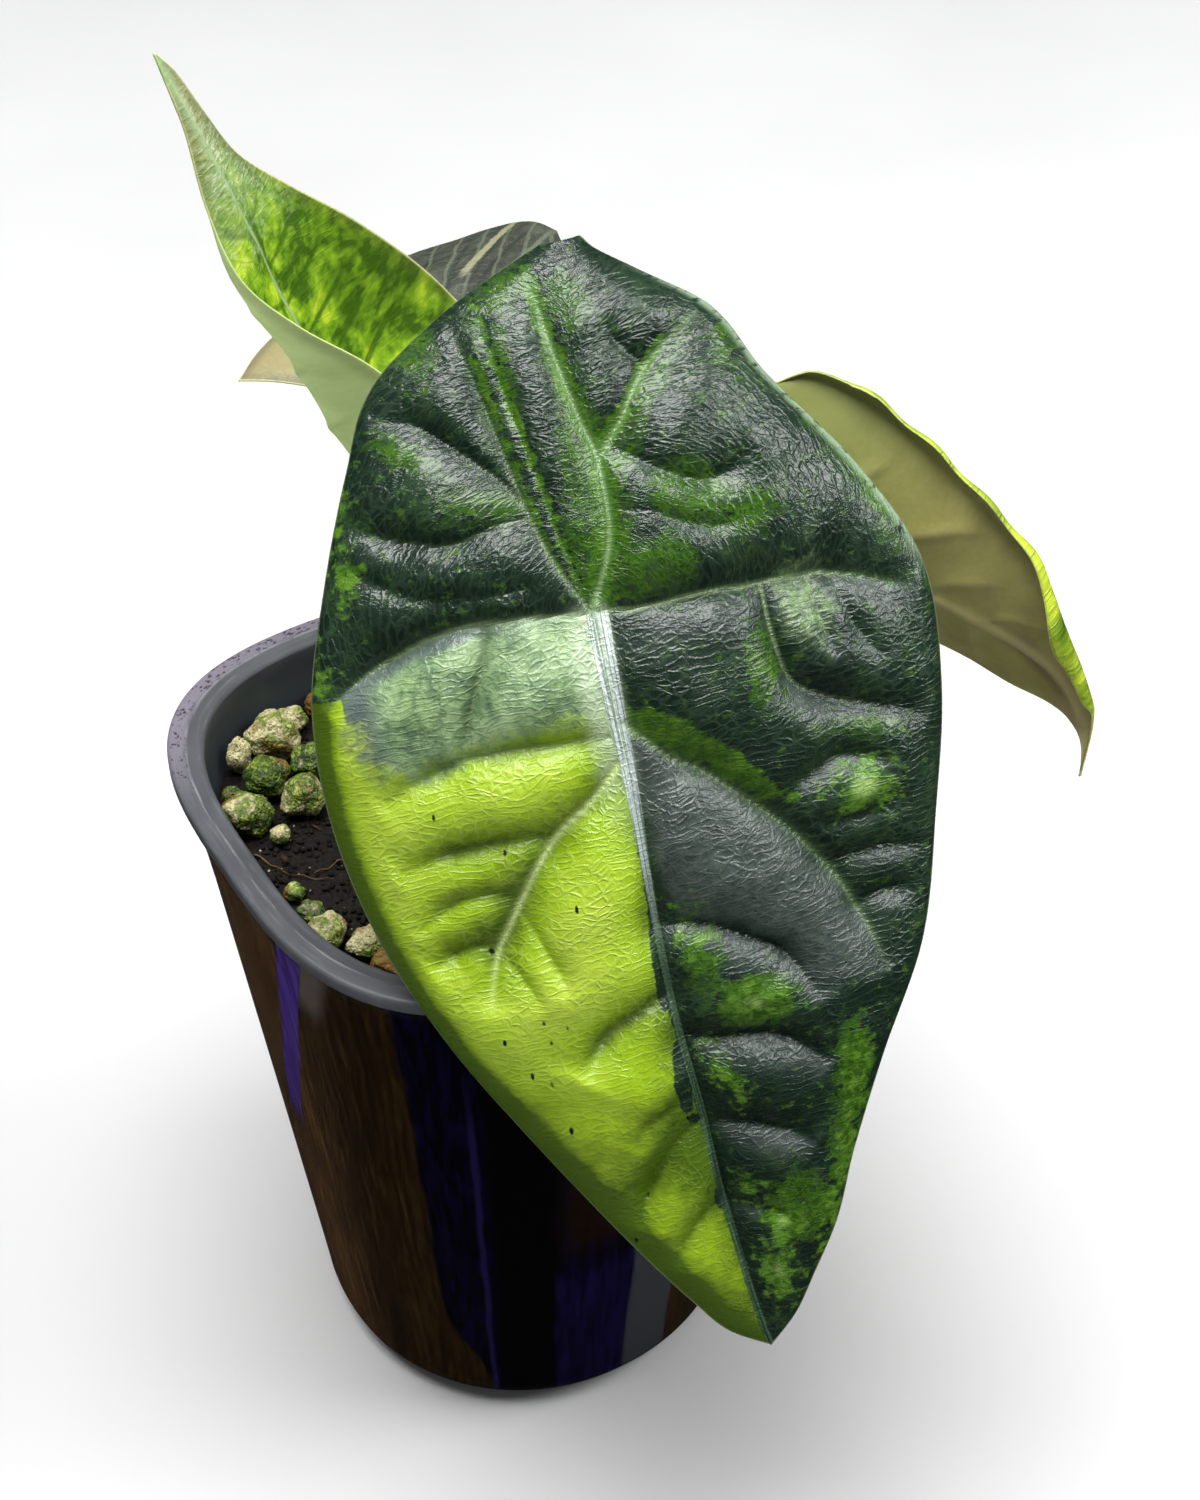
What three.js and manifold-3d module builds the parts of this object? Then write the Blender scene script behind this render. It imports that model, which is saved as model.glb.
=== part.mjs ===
// A potted peltate-leaved aroid: four leathery leaves on long stalks, rising from a short stem
// base in potting mix, in a lipped nursery liner that hangs in a glossy cover pot.
// Millimetres, +Z up. The origin is the centre of the cover pot's foot, on the surface it
// stands on. The camera side is -Y.

import * as THREE from 'three';
import { mergeVertices } from 'three/addons/utils/BufferGeometryUtils.js';
import Module from 'manifold-3d';

const wasm = await Module();
wasm.setup();

// Driving dimensions

const SEAT_GAP = 0.3; // clearance between neighbours that touch on the real thing

const RIM = { radius: 50, height: 120, lipWidth: 5.4 };
const COVER = { foot: 28, shoulder: 8, lowRadius: 36.8, topRadius: 47.9, top: 117.2, wall: 1.3 };
const LINER = { floorZ: 6, wall: 1, airGap: 0.4 };
const DRAIN = { radius: 3.5, ring: 20, count: 5 };
const SQUARENESS = { foot: 2.05, rim: 3.1 }; // superellipse power, 2 is a circle
const POT_TURN = THREE.MathUtils.degToRad(30);
const POT_SIDES = 40;

const SOIL = { edge: 107, mound: 3, moundWidth: 18 };
const STEM = { foot: 92, top: 114.7, waist: 8.5, crown: 7.5, neck: 6 };

const BLADE_THICKNESS = 1.1;
const STALK = { radius: 2.2, sides: 8, steps: 14 };

// Leaf blades. Each blade is drawn in its own chart: "along" runs from the hub, where the
// stalk joins, to the tip; "across" is to the right seen from above; "drop" is below the
// chart plane. hub and tip are points in the pot's frame and face is the side the upper
// surface looks to. A row is
// [along, left edge, midrib, right edge (across), left edge, midrib, right edge (drop)].
// curve is the power of each half's droop, sag its extra bulge as a part of its width, and
// roll the radius of an edge that curls under.
const LEAVES = {
  front: {
    hub: [13.5, -40, 176], tip: [37.5, -85, 84], face: [0, -0.776, 0.631],
    curve: [2.2, 2.2], sag: [0, 0], roll: [0, 0],
    rows: [
      [-48.5, 8, 8, 8, 17, 15.5, 17],
      [-46, -0.5, 7.5, 10.5, 17.5, 14.5, 18],
      [-42, -11, 6.5, 16.5, 17, 12.5, 18],
      [-35, -22, 5, 25, 16, 9, 17],
      [-25, -28, 3, 30, 14.5, 5, 15.5],
      [-10, -35, 1, 39.5, 13, 1.5, 14],
      [5, -40.5, 0, 45.5, 12, 0.5, 13],
      [22, -42, -0.5, 44.5, 12, 0.5, 12],
      [40, -39.5, -1.5, 40, 11.5, 0.5, 12],
      [57, -33.5, -2, 34.5, 10.5, 1.5, 11],
      [72, -26, -1.5, 25.5, 9.5, 3.5, 10],
      [85, -19, -1.5, 18.5, 9, 6, 10],
      [95, -13.5, -1, 14, 9.5, 8, 10.5],
      [103, -9, -0.5, 9, 11, 10, 11.5],
      [109, -5, 0, 5, 12, 11.5, 12.5],
      [113, 0.5, 0.5, 0.5, 12.5, 12.5, 12.5],
    ],
    stalkFoot: [2.6, -4.5],
    stalk: [[3, -6, 132], [6.5, -15, 155], [12.6, -30, 171]],
  },
  left: {
    hub: [-17, 20, 159], tip: [-44, 4, 235], face: [0.927, 0.121, 0.355],
    curve: [1.6, 2.2], sag: [0, 0.35], roll: [0, 0],
    rows: [
      [-16, -3, -3, -3, -8, -8, -8],
      [-12, -13, 0, 5, -17, -4, -4],
      [-6, -19, 2, 8, -21, -1, -6],
      [0, -21.5, 0, 10, -21, 0, -8],
      [10, -21, -2.5, 11, -18, 2, -11],
      [20, -18.5, -3.5, 10.5, -16, 2.5, -10.5],
      [30, -15, -3, 9.5, -13.5, 2, -6.5],
      [40, -12, -1.5, 9, -10, 1.5, -0.5],
      [50, -9, -0.5, 8, -5.5, 0.5, 3.5],
      [60, -5.5, 0.5, 4, -2, 0, 3.5],
      [70, -2, 0.5, 1.5, -1.5, 0, 1.5],
      [78, -0.6, 0.2, 0.8, -1, 0, 0.3],
      [81.8, 0, 0, 0, 0, 0, 0],
    ],
    stalkFoot: [-5.2, 0],
    stalk: [[-8, 3, 130], [-16, 12, 146], [-21.5, 18, 154]],
  },
  right: {
    hub: [48, 13, 156], tip: [89, -4, 120], face: [0.547, 0.801, 0.244],
    curve: [2, 2], sag: [0, 0], roll: [2.4, 0],
    rows: [
      [-21, -9, -9, -9, -4.5, -4.5, -4.5],
      [-18, -12, -6.5, -2.5, -8, -3, -1],
      [-11, -13.5, -3.5, 2, -10, -0.5, 3],
      [0, -15.5, 0, 8, -10.5, 0, 5],
      [12, -16, -0.5, 12.5, -10.5, -2, 0],
      [24, -15.5, -2.5, 14.5, -10, -5, -7],
      [35, -13, -4, 13, -8, -7.5, -10.5],
      [43, -11, -5, 9.5, -7, -8, -10.5],
      [48, -9, -4.5, 4, -6, -7, -9],
      [51, -7, -4, 0.5, -5.5, -5.5, -7],
      [54, -4.5, -3, -1.5, -4, -4.5, -4],
      [58, 0, 0, 0, 0, 0, 0],
    ],
    stalkFoot: [5, 1.4],
    stalk: [[9, 1, 130], [24, 2, 146], [42, 6.5, 154]],
  },
  back: {
    hub: [-8, 61, 167], tip: [-44, 42, 164], face: [0, -0.155, 0.988],
    curve: [2, 2], sag: [0, 0], roll: [0, 0],
    rows: [
      [-23.5, -13, -13, -13, 1.5, 1.5, 1.5],
      [-20.5, -19, -10, -4, 2.5, -1, 0],
      [-15, -21, -6.5, 3, 3, -1.5, 1],
      [-8, -21.5, -3, 10, 3.5, -1.5, 2.5],
      [0, -21.5, -0.5, 14, 3.5, -1, 3.5],
      [10, -20, 0, 15, 3.5, -0.5, 4],
      [20, -16, 0, 12, 2.5, -0.5, 3],
      [30, -10, 0, 6, 1.5, 0, 1.5],
      [36, -5, 0, 2.5, 0.5, 0, 0.5],
      [41, 0.3, 0.3, 0.3, 0, 0, 0],
    ],
    stalkFoot: [-0.4, 5.2],
    stalk: [[-1, 14, 134], [-4, 38, 150], [-7.6, 60, 158]],
  },
};

// Loose top dressing: [x, y, radius, squash of height, seed], each resting on the mix
const PEBBLES = [
  [-45.5, 11.5, 2.5, 1.45, 1],
  [-40.5, 16, 4.7, 0.9, 2],
  [-38, 22.5, 2.8, 0.9, 3],
  [-34, 11, 3.5, 0.9, 4],
  [-40.5, 6.5, 4.4, 0.85, 5],
  [-34, 1.5, 4.1, 0.9, 6],
  [-42.5, -3, 4.2, 0.9, 7],
  [-45.5, 2.5, 2.3, 0.9, 8],
  [-37, -6, 2, 0.8, 9],
  [-27.5, -29.5, 3.7, 0.75, 10],
  [-21, -31.5, 3.3, 0.8, 11],
  [-33.5, -19.5, 2, 0.7, 12],
  [-30.5, -24.5, 2.5, 0.8, 13],
  [-24, 13, 3.8, 0.85, 14],
  [10, 33, 4.6, 0.85, 15],
  [22, 24, 4, 0.8, 16],
  [33, 9, 4.4, 0.8, 17],
  [-2, 38, 3.8, 0.9, 18],
];
const BARK_CHIPS = [
  [-32.5, 27.5, 3.8, 2.6, 2.2, 40],
  [-16, -37, 4.4, 2.8, 2.2, -35],
  [17, 12, 5.2, 3, 2.4, 70],
];

// Materials: colour, roughness and metalness

const finish = (color, roughness, metalness = 0) =>
  new THREE.MeshStandardMaterial({ color, roughness, metalness });

const FINISHES = {
  cover: finish(0x1c0f0a, 0.12),
  liner: finish(0x70757b, 0.5),
  soil: finish(0x14110f, 0.95),
  stem: finish(0x6c6a3c, 0.7),
  stalk: finish(0x8aa05a, 0.5),
  darkBlade: finish(0x2c4a2a, 0.4),
  brightBlade: finish(0x5c8a1e, 0.42),
  oliveBlade: finish(0x76783a, 0.55),
  dullBlade: finish(0x4a5140, 0.55),
  pebble: finish(0x7d8450, 0.9),
  bark: finish(0x7a4a24, 0.9),
};

// Geometry helpers

const model = new THREE.Group();

function addPiece(name, geometry, material) {
  const mesh = new THREE.Mesh(geometry, material);
  mesh.name = name;
  model.add(mesh);
  return mesh;
}

function indexedGeometry(points, triangles) {
  const geometry = new THREE.BufferGeometry();
  const flat = points.flatMap((p) => [p.x, p.y, p.z]);
  geometry.setAttribute('position', new THREE.Float32BufferAttribute(flat, 3));
  geometry.setIndex(triangles);
  return geometry;
}

function toSolid(geometry) {
  const bare = geometry.clone();
  bare.deleteAttribute('normal');
  bare.deleteAttribute('uv');
  const merged = mergeVertices(bare);
  return new wasm.Manifold(new wasm.Mesh({
    numProp: 3,
    vertProperties: new Float32Array(merged.attributes.position.array),
    triVerts: new Uint32Array(merged.index.array),
  }));
}

function fromSolid(solid) {
  const mesh = solid.getMesh();
  const geometry = new THREE.BufferGeometry();
  geometry.setAttribute('position', new THREE.Float32BufferAttribute(mesh.vertProperties, 3));
  geometry.setIndex(Array.from(mesh.triVerts));
  return geometry;
}

// A stack of closed rings from one axis point to another, as a closed skin. Rings run
// anticlockwise seen from +Z; the stack goes up the outside and, in a vessel, down the inside.
function ringStack(firstPoint, rings, lastPoint) {
  const sides = rings[0].length;
  const points = [firstPoint, ...rings.flat(), lastPoint];
  const last = points.length - 1;
  const at = (ring, k) => 1 + ring * sides + (k % sides);
  const triangles = [];
  for (let k = 0; k < sides; k++) {
    triangles.push(0, at(0, k + 1), at(0, k));
    triangles.push(last, at(rings.length - 1, k), at(rings.length - 1, k + 1));
    for (let r = 0; r < rings.length - 1; r++) {
      triangles.push(at(r, k), at(r, k + 1), at(r + 1, k + 1));
      triangles.push(at(r, k), at(r + 1, k + 1), at(r + 1, k));
    }
  }
  return indexedGeometry(points, triangles);
}

// The pot's plan is a rounded square that becomes round towards the foot.
function potRing(radius, height, heightAt = null) {
  const power = THREE.MathUtils.mapLinear(height, 0, RIM.height, SQUARENESS.foot, SQUARENESS.rim);
  const ring = [];
  for (let k = 0; k < POT_SIDES; k++) {
    const angle = (2 * Math.PI * k) / POT_SIDES;
    const c = Math.cos(angle);
    const s = Math.sin(angle);
    const reach = radius * (Math.abs(c) ** power + Math.abs(s) ** power) ** (-1 / power);
    const x = reach * Math.cos(angle + POT_TURN);
    const y = reach * Math.sin(angle + POT_TURN);
    ring.push(new THREE.Vector3(x, y, heightAt ? heightAt(x, y) : height));
  }
  return ring;
}

const coverRadius = (z) =>
  THREE.MathUtils.mapLinear(z, COVER.shoulder, COVER.top, COVER.lowRadius, COVER.topRadius);
const linerOuter = (z) => coverRadius(z) - COVER.wall - LINER.airGap;
const linerInner = (z) => linerOuter(z) - LINER.wall;
const axisPoint = (z) => new THREE.Vector3(0, 0, z);

// Cover pot

function coverPot() {
  const rings = [];
  const turns = 4;
  const flare = COVER.lowRadius - COVER.foot;
  for (let k = 0; k <= turns; k++) {
    const a = (Math.PI / 2) * (k / turns);
    rings.push(potRing(COVER.foot + flare * Math.sin(a), COVER.shoulder * (1 - Math.cos(a))));
  }
  const innerFloor = COVER.wall + 0.7;
  rings.push(potRing(coverRadius(60), 60));
  rings.push(potRing(coverRadius(COVER.top), COVER.top));
  rings.push(potRing(coverRadius(COVER.top) - COVER.wall, COVER.top));
  rings.push(potRing(coverRadius(60) - COVER.wall, 60));
  rings.push(potRing(coverRadius(COVER.shoulder) - COVER.wall, COVER.shoulder));
  rings.push(potRing(COVER.foot, innerFloor));
  return ringStack(axisPoint(0), rings, axisPoint(innerFloor));
}

// Nursery liner: lip over the cover pot's edge, tapered wall, floor with drain holes

function linerPot() {
  const lipUnder = COVER.top + SEAT_GAP;
  const lipInner = RIM.radius - RIM.lipWidth;
  const rings = [
    potRing(linerOuter(14) - 5, LINER.floorZ),
    potRing(linerOuter(12), LINER.floorZ + 5),
    potRing(linerOuter(60), 60),
    potRing(linerOuter(lipUnder), lipUnder),
    potRing(RIM.radius - 0.5, lipUnder),
    potRing(RIM.radius, lipUnder + 0.7),
    potRing(RIM.radius, RIM.height - 0.8),
    potRing(RIM.radius - 0.8, RIM.height),
    potRing(RIM.radius - 2.4, RIM.height - 0.3),
    potRing(lipInner + 0.8, RIM.height - 1.1),
    potRing(lipInner, RIM.height - 2.2),
    potRing(linerInner(lipUnder - 2), lipUnder - 2),
    potRing(linerInner(60), 60),
    potRing(linerInner(12) - 0.4, LINER.floorZ + 5.5),
    potRing(linerOuter(14) - 6, LINER.floorZ + LINER.wall),
  ];
  let solid = toSolid(ringStack(axisPoint(LINER.floorZ), rings, axisPoint(LINER.floorZ + LINER.wall)));
  for (let k = 0; k < DRAIN.count; k++) {
    const angle = (2 * Math.PI * k) / DRAIN.count;
    const bore = new THREE.CylinderGeometry(DRAIN.radius, DRAIN.radius, 6, 12);
    bore.rotateX(Math.PI / 2);
    bore.translate(DRAIN.ring * Math.cos(angle), DRAIN.ring * Math.sin(angle), LINER.floorZ);
    solid = solid.subtract(toSolid(bore));
  }
  return fromSolid(solid);
}

// Potting mix: fills the liner up to a slightly mounded top, with a pocket for the stem base

const soilTop = (x, y) => SOIL.edge + SOIL.mound * Math.exp(-(x * x + y * y) / SOIL.moundWidth ** 2);

function stemProfile(grow) {
  return [
    [0, STEM.foot - grow],
    [5.5 + grow, STEM.foot + 0.6 - grow],
    [STEM.waist + grow, STEM.foot + STEM.neck],
    [STEM.waist + grow, STEM.top - STEM.neck / 2],
    [STEM.crown + grow, STEM.top],
    [0, STEM.top],
  ].map(([r, z]) => new THREE.Vector2(r, z));
}

function stemLathe(grow) {
  const lathe = new THREE.LatheGeometry(stemProfile(grow), 14);
  lathe.rotateX(Math.PI / 2);
  return lathe;
}

function pottingMix() {
  const low = LINER.floorZ + LINER.wall + SEAT_GAP;
  const edgeRadius = linerInner(SOIL.edge) - SEAT_GAP;
  const rings = [
    potRing(linerInner(12) - 7.5, low),
    potRing(linerInner(12) - 0.8 - SEAT_GAP, LINER.floorZ + 6),
    potRing(linerInner(60) - SEAT_GAP, 60),
    potRing(edgeRadius, SOIL.edge),
  ];
  for (const part of [0.82, 0.62, 0.42, 0.2]) {
    rings.push(potRing(edgeRadius * part, SOIL.edge, soilTop));
  }
  const filled = toSolid(ringStack(axisPoint(low), rings, axisPoint(soilTop(0, 0))));
  return fromSolid(filled.subtract(toSolid(stemLathe(SEAT_GAP))));
}

// Leaf blades

function leafFrame(leaf) {
  const hub = new THREE.Vector3(...leaf.hub);
  const along = new THREE.Vector3(...leaf.tip).sub(hub).normalize();
  const up = new THREE.Vector3(...leaf.face);
  up.addScaledVector(along, -up.dot(along)).normalize();
  const across = new THREE.Vector3().crossVectors(up, along);
  return { hub, along, up, across };
}

// Rows between the given ones, on cubic curves through them
function denseRows(rows, split) {
  const slope = (i, c) => {
    const a = rows[Math.max(i - 1, 0)];
    const b = rows[Math.min(i + 1, rows.length - 1)];
    return (b[c] - a[c]) / (b[0] - a[0]);
  };
  const dense = [];
  for (let i = 0; i < rows.length - 1; i++) {
    const span = rows[i + 1][0] - rows[i][0];
    for (let k = 0; k < split; k++) {
      const t = k / split;
      const h00 = 2 * t ** 3 - 3 * t ** 2 + 1;
      const h10 = t ** 3 - 2 * t ** 2 + t;
      const h01 = 3 * t ** 2 - 2 * t ** 3;
      const h11 = t ** 3 - t ** 2;
      dense.push(rows[i].map((value, c) =>
        h00 * value + h01 * rows[i + 1][c] + span * (h10 * slope(i, c) + h11 * slope(i + 1, c))));
    }
  }
  dense.push([...rows[rows.length - 1]]);
  return dense;
}

// Drop of a half blade at the part a of its width, counted from the midrib
const halfDrop = (a, width, edgeDrop, midDrop, curve, sag) =>
  midDrop + (edgeDrop - midDrop) * a ** curve + sag * width * 6.75 * a ** 2 * (1 - a);

// One half of a cross section, from the midrib outwards, as [across, drop] pairs
function halfSection(edge, mid, edgeDrop, midDrop, curve, sag, roll, cells) {
  const width = Math.abs(edge - mid);
  const side = Math.sign(edge - mid) || 1;
  const points = [];
  for (let k = 1; k <= cells; k++) {
    const a = k / cells;
    points.push([mid + (edge - mid) * a, halfDrop(a, width, edgeDrop, midDrop, curve, sag)]);
  }
  if (roll > 0) {
    const radius = roll * Math.min(1, width / 10);
    const start = Math.atan2((edgeDrop - midDrop) * curve - 6.75 * sag * width, width);
    const turn = 2.3;
    for (let k = 1; k <= 3; k++) {
      const a = start + (turn * k) / 3;
      points.push([
        edge + side * radius * (Math.sin(a) - Math.sin(start)),
        edgeDrop + radius * (Math.cos(start) - Math.cos(a)),
      ]);
    }
  }
  return points;
}

function bladeSection(row, leaf, cells) {
  const [, left, mid, right, leftDrop, midDrop, rightDrop] = row;
  const half = (edge, edgeDrop, i) =>
    halfSection(edge, mid, edgeDrop, midDrop, leaf.curve[i], leaf.sag[i], leaf.roll[i], cells);
  return [...half(left, leftDrop, 0).reverse(), [mid, midDrop], ...half(right, rightDrop, 1)];
}

function bladeGeometry(leaf, cells) {
  const { hub, along, up, across } = leafFrame(leaf);
  const place = (v, [u, drop]) => hub.clone()
    .addScaledVector(along, v)
    .addScaledVector(across, u)
    .addScaledVector(up, -drop);
  const rows = denseRows(leaf.rows, 2);
  const grid = rows.map((row) => bladeSection(row, leaf, cells).map((p) => place(row[0], p)));
  const wide = grid[0].length;
  const inner = grid.slice(1, -1);
  const points = [grid[0][0], grid[grid.length - 1][0]];
  inner.forEach((line, r) => line.forEach((p, c) => {
    const du = line[Math.min(c + 1, wide - 1)].clone().sub(line[Math.max(c - 1, 0)]);
    const dv = grid[r + 2][c].clone().sub(grid[r][c]);
    const downward = new THREE.Vector3().crossVectors(du, dv).normalize();
    points.push(p, p.clone().addScaledVector(downward, BLADE_THICKNESS));
  }));
  const top = (r, c) => 2 + 2 * (r * wide + c);
  const low = (r, c) => top(r, c) + 1;
  const triangles = [];
  const quad = (a, b, c, d) => triangles.push(a, b, c, a, c, d);
  const end = inner.length - 1;
  for (let c = 0; c < wide - 1; c++) {
    for (let r = 0; r < end; r++) {
      quad(top(r, c), top(r + 1, c), top(r + 1, c + 1), top(r, c + 1));
      quad(low(r, c), low(r, c + 1), low(r + 1, c + 1), low(r + 1, c));
    }
    triangles.push(0, top(0, c), top(0, c + 1), 0, low(0, c + 1), low(0, c));
    triangles.push(1, top(end, c + 1), top(end, c), 1, low(end, c), low(end, c + 1));
  }
  for (let r = 0; r < end; r++) {
    quad(top(r, 0), low(r, 0), low(r + 1, 0), top(r + 1, 0));
    quad(top(r, wide - 1), top(r + 1, wide - 1), low(r + 1, wide - 1), low(r, wide - 1));
  }
  triangles.push(0, low(0, 0), top(0, 0), 0, top(0, wide - 1), low(0, wide - 1));
  triangles.push(1, top(end, 0), low(end, 0), 1, low(end, wide - 1), top(end, wide - 1));
  return indexedGeometry(points, triangles);
}

// Stalks: each runs from the stem's crown to the underside of its blade at the hub

// Where the midrib crosses the hub, and the lowest the blade gets over the stalk's width
function hubSeat(leaf) {
  const rows = leaf.rows;
  const i = rows.findIndex((row) => row[0] > 0) - 1;
  const t = -rows[i][0] / (rows[i + 1][0] - rows[i][0]);
  const [, left, mid, right, leftDrop, midDrop, rightDrop] =
    rows[i].map((value, c) => THREE.MathUtils.lerp(value, rows[i + 1][c], t));
  const edgeDrops = [[left, leftDrop, 0], [right, rightDrop, 1]].map(([edge, edgeDrop, k]) => {
    const width = Math.abs(edge - mid);
    return halfDrop(STALK.radius / width, width, edgeDrop, midDrop, leaf.curve[k], leaf.sag[k]);
  });
  return { across: mid, drop: Math.max(midDrop, ...edgeDrops) };
}

function stalkGeometry(leaf) {
  const { hub, up, across } = leafFrame(leaf);
  const seat = hubSeat(leaf);
  const below = seat.drop + BLADE_THICKNESS + SEAT_GAP + 0.1;
  const end = hub.clone().addScaledVector(across, seat.across).addScaledVector(up, -below);
  const foot = new THREE.Vector3(...leaf.stalkFoot, STEM.top + SEAT_GAP);
  const path = [foot, foot.clone().setZ(foot.z + 4)];
  path.push(...leaf.stalk.map((p) => new THREE.Vector3(...p)));
  path.push(end.clone().addScaledVector(up, -3), end);
  const section = new THREE.Shape();
  for (let k = 0; k < STALK.sides; k++) {
    const a = (2 * Math.PI * k) / STALK.sides;
    section[k ? 'lineTo' : 'moveTo'](STALK.radius * Math.cos(a), STALK.radius * Math.sin(a));
  }
  section.closePath();
  return new THREE.ExtrudeGeometry(section, {
    steps: STALK.steps,
    bevelEnabled: false,
    extrudePath: new THREE.CatmullRomCurve3(path, false, 'centripetal'),
  });
}

// Top dressing: uneven grains and bark chips that rest on the mix

function grainGeometry(radius, squash, seed) {
  const ball = new THREE.IcosahedronGeometry(radius, 1);
  const position = ball.attributes.position;
  const p = new THREE.Vector3();
  for (let i = 0; i < position.count; i++) {
    p.fromBufferAttribute(position, i).divideScalar(radius);
    const knob = 1 - 0.07 * (1 + Math.sin(3.1 * p.x + seed) * Math.cos(2.7 * p.y - 2 * seed))
      - 0.05 * (1 + Math.sin(4.3 * p.z + 1.7 * seed));
    position.setXYZ(i, p.x * radius * knob, p.y * radius * knob, p.z * radius * knob * squash);
  }
  return ball;
}

function restOnSoil(geometry, x, y, turn) {
  geometry.rotateZ(turn);
  geometry.translate(x, y, 0);
  const position = geometry.attributes.position;
  let lift = -Infinity;
  for (let i = 0; i < position.count; i++) {
    lift = Math.max(lift, soilTop(position.getX(i), position.getY(i)) - position.getZ(i));
  }
  geometry.translate(0, 0, lift + SEAT_GAP);
  return geometry;
}

function barkGeometry(length, width, height) {
  const chip = new THREE.BoxGeometry(2 * length, 2 * width, 2 * height, 3, 2, 2);
  const position = chip.attributes.position;
  for (let i = 0; i < position.count; i++) {
    const x = position.getX(i);
    const y = position.getY(i);
    const z = position.getZ(i);
    const taper = 1 - 0.25 * (x / length) ** 2;
    position.setXYZ(i, x, y * taper + 0.4 * Math.sin(x), z * (taper - 0.15 * (y / width) ** 2));
  }
  return chip;
}

// Assembly

addPiece('cover_pot', coverPot(), FINISHES.cover);
addPiece('liner_pot', linerPot(), FINISHES.liner);
addPiece('potting_mix', pottingMix(), FINISHES.soil);
addPiece('stem_base', stemLathe(0), FINISHES.stem);

const bladeFinish = {
  front: FINISHES.darkBlade,
  left: FINISHES.brightBlade,
  right: FINISHES.oliveBlade,
  back: FINISHES.dullBlade,
};
for (const [name, leaf] of Object.entries(LEAVES)) {
  addPiece(`${name}_leaf_stalk`, stalkGeometry(leaf), FINISHES.stalk);
  addPiece(`${name}_leaf_blade`, bladeGeometry(leaf, name === 'front' ? 8 : 6), bladeFinish[name]);
}

PEBBLES.forEach(([x, y, radius, squash, seed], i) => {
  const grain = restOnSoil(grainGeometry(radius, squash, seed), x, y, seed);
  addPiece(`pebble_${String(i + 1).padStart(2, '0')}`, grain, FINISHES.pebble);
});
BARK_CHIPS.forEach(([x, y, length, width, height, degrees], i) => {
  const turn = THREE.MathUtils.degToRad(degrees);
  const chip = restOnSoil(barkGeometry(length, width, height), x, y, turn);
  addPiece(`bark_chip_${i + 1}`, chip, FINISHES.bark);
});

export default model;
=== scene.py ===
# A potted peltate-leaved aroid: four leathery leaves on stalks, a short stem, potting mix with a
# top dressing of stones and bark, a grey nursery liner and a glossy cover pot.
# Lengths are millimetres until a mesh is made; the scene itself is in metres, +Z up, and the
# camera side is -Y.

import math

import bmesh
import bpy
import numpy as np
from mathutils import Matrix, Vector, noise


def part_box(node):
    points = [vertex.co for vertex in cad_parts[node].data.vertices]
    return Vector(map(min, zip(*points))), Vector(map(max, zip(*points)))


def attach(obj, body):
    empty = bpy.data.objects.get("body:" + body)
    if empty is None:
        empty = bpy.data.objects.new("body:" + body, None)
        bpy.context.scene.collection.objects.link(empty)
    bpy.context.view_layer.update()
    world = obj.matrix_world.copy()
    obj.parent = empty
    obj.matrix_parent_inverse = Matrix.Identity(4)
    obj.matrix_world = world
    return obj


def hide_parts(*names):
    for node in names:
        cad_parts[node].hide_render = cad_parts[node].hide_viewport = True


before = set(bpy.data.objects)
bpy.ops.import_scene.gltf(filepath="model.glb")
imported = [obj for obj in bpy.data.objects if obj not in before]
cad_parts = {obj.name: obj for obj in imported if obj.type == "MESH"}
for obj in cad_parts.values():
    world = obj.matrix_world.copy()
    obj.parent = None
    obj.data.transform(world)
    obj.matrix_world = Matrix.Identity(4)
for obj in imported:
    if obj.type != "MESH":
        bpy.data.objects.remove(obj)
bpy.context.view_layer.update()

MM = 0.001

# Driving dimensions of the pots, the mix and the stem: radii, heights and thicknesses in mm.
# SQUARE_FOOT and SQUARE_RIM are how square the outline is, as the power of its curve (2 is round).
RIM_RADIUS, RIM_HEIGHT, LIP_WIDTH = 50.0, 120.0, 5.4
COVER_FOOT, COVER_SHOULDER, COVER_LOW, COVER_TOP = 28.0, 8.0, 36.8, 47.9
COVER_EDGE, COVER_WALL, LIP_GAP = 117.2, 1.3, 0.3
LINER_WALL, AIR_GAP, LINER_FLOOR = 1.0, 0.4, 6.0
SQUARE_FOOT, SQUARE_RIM = 2.05, 3.1
POT_TURN = math.radians(30)
SOIL_EDGE, SOIL_MOUND, MOUND_WIDTH = 107.0, 3.0, 18.0
STEM_TOP, STEM_CLEARANCE = 114.7, 9.5

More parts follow.
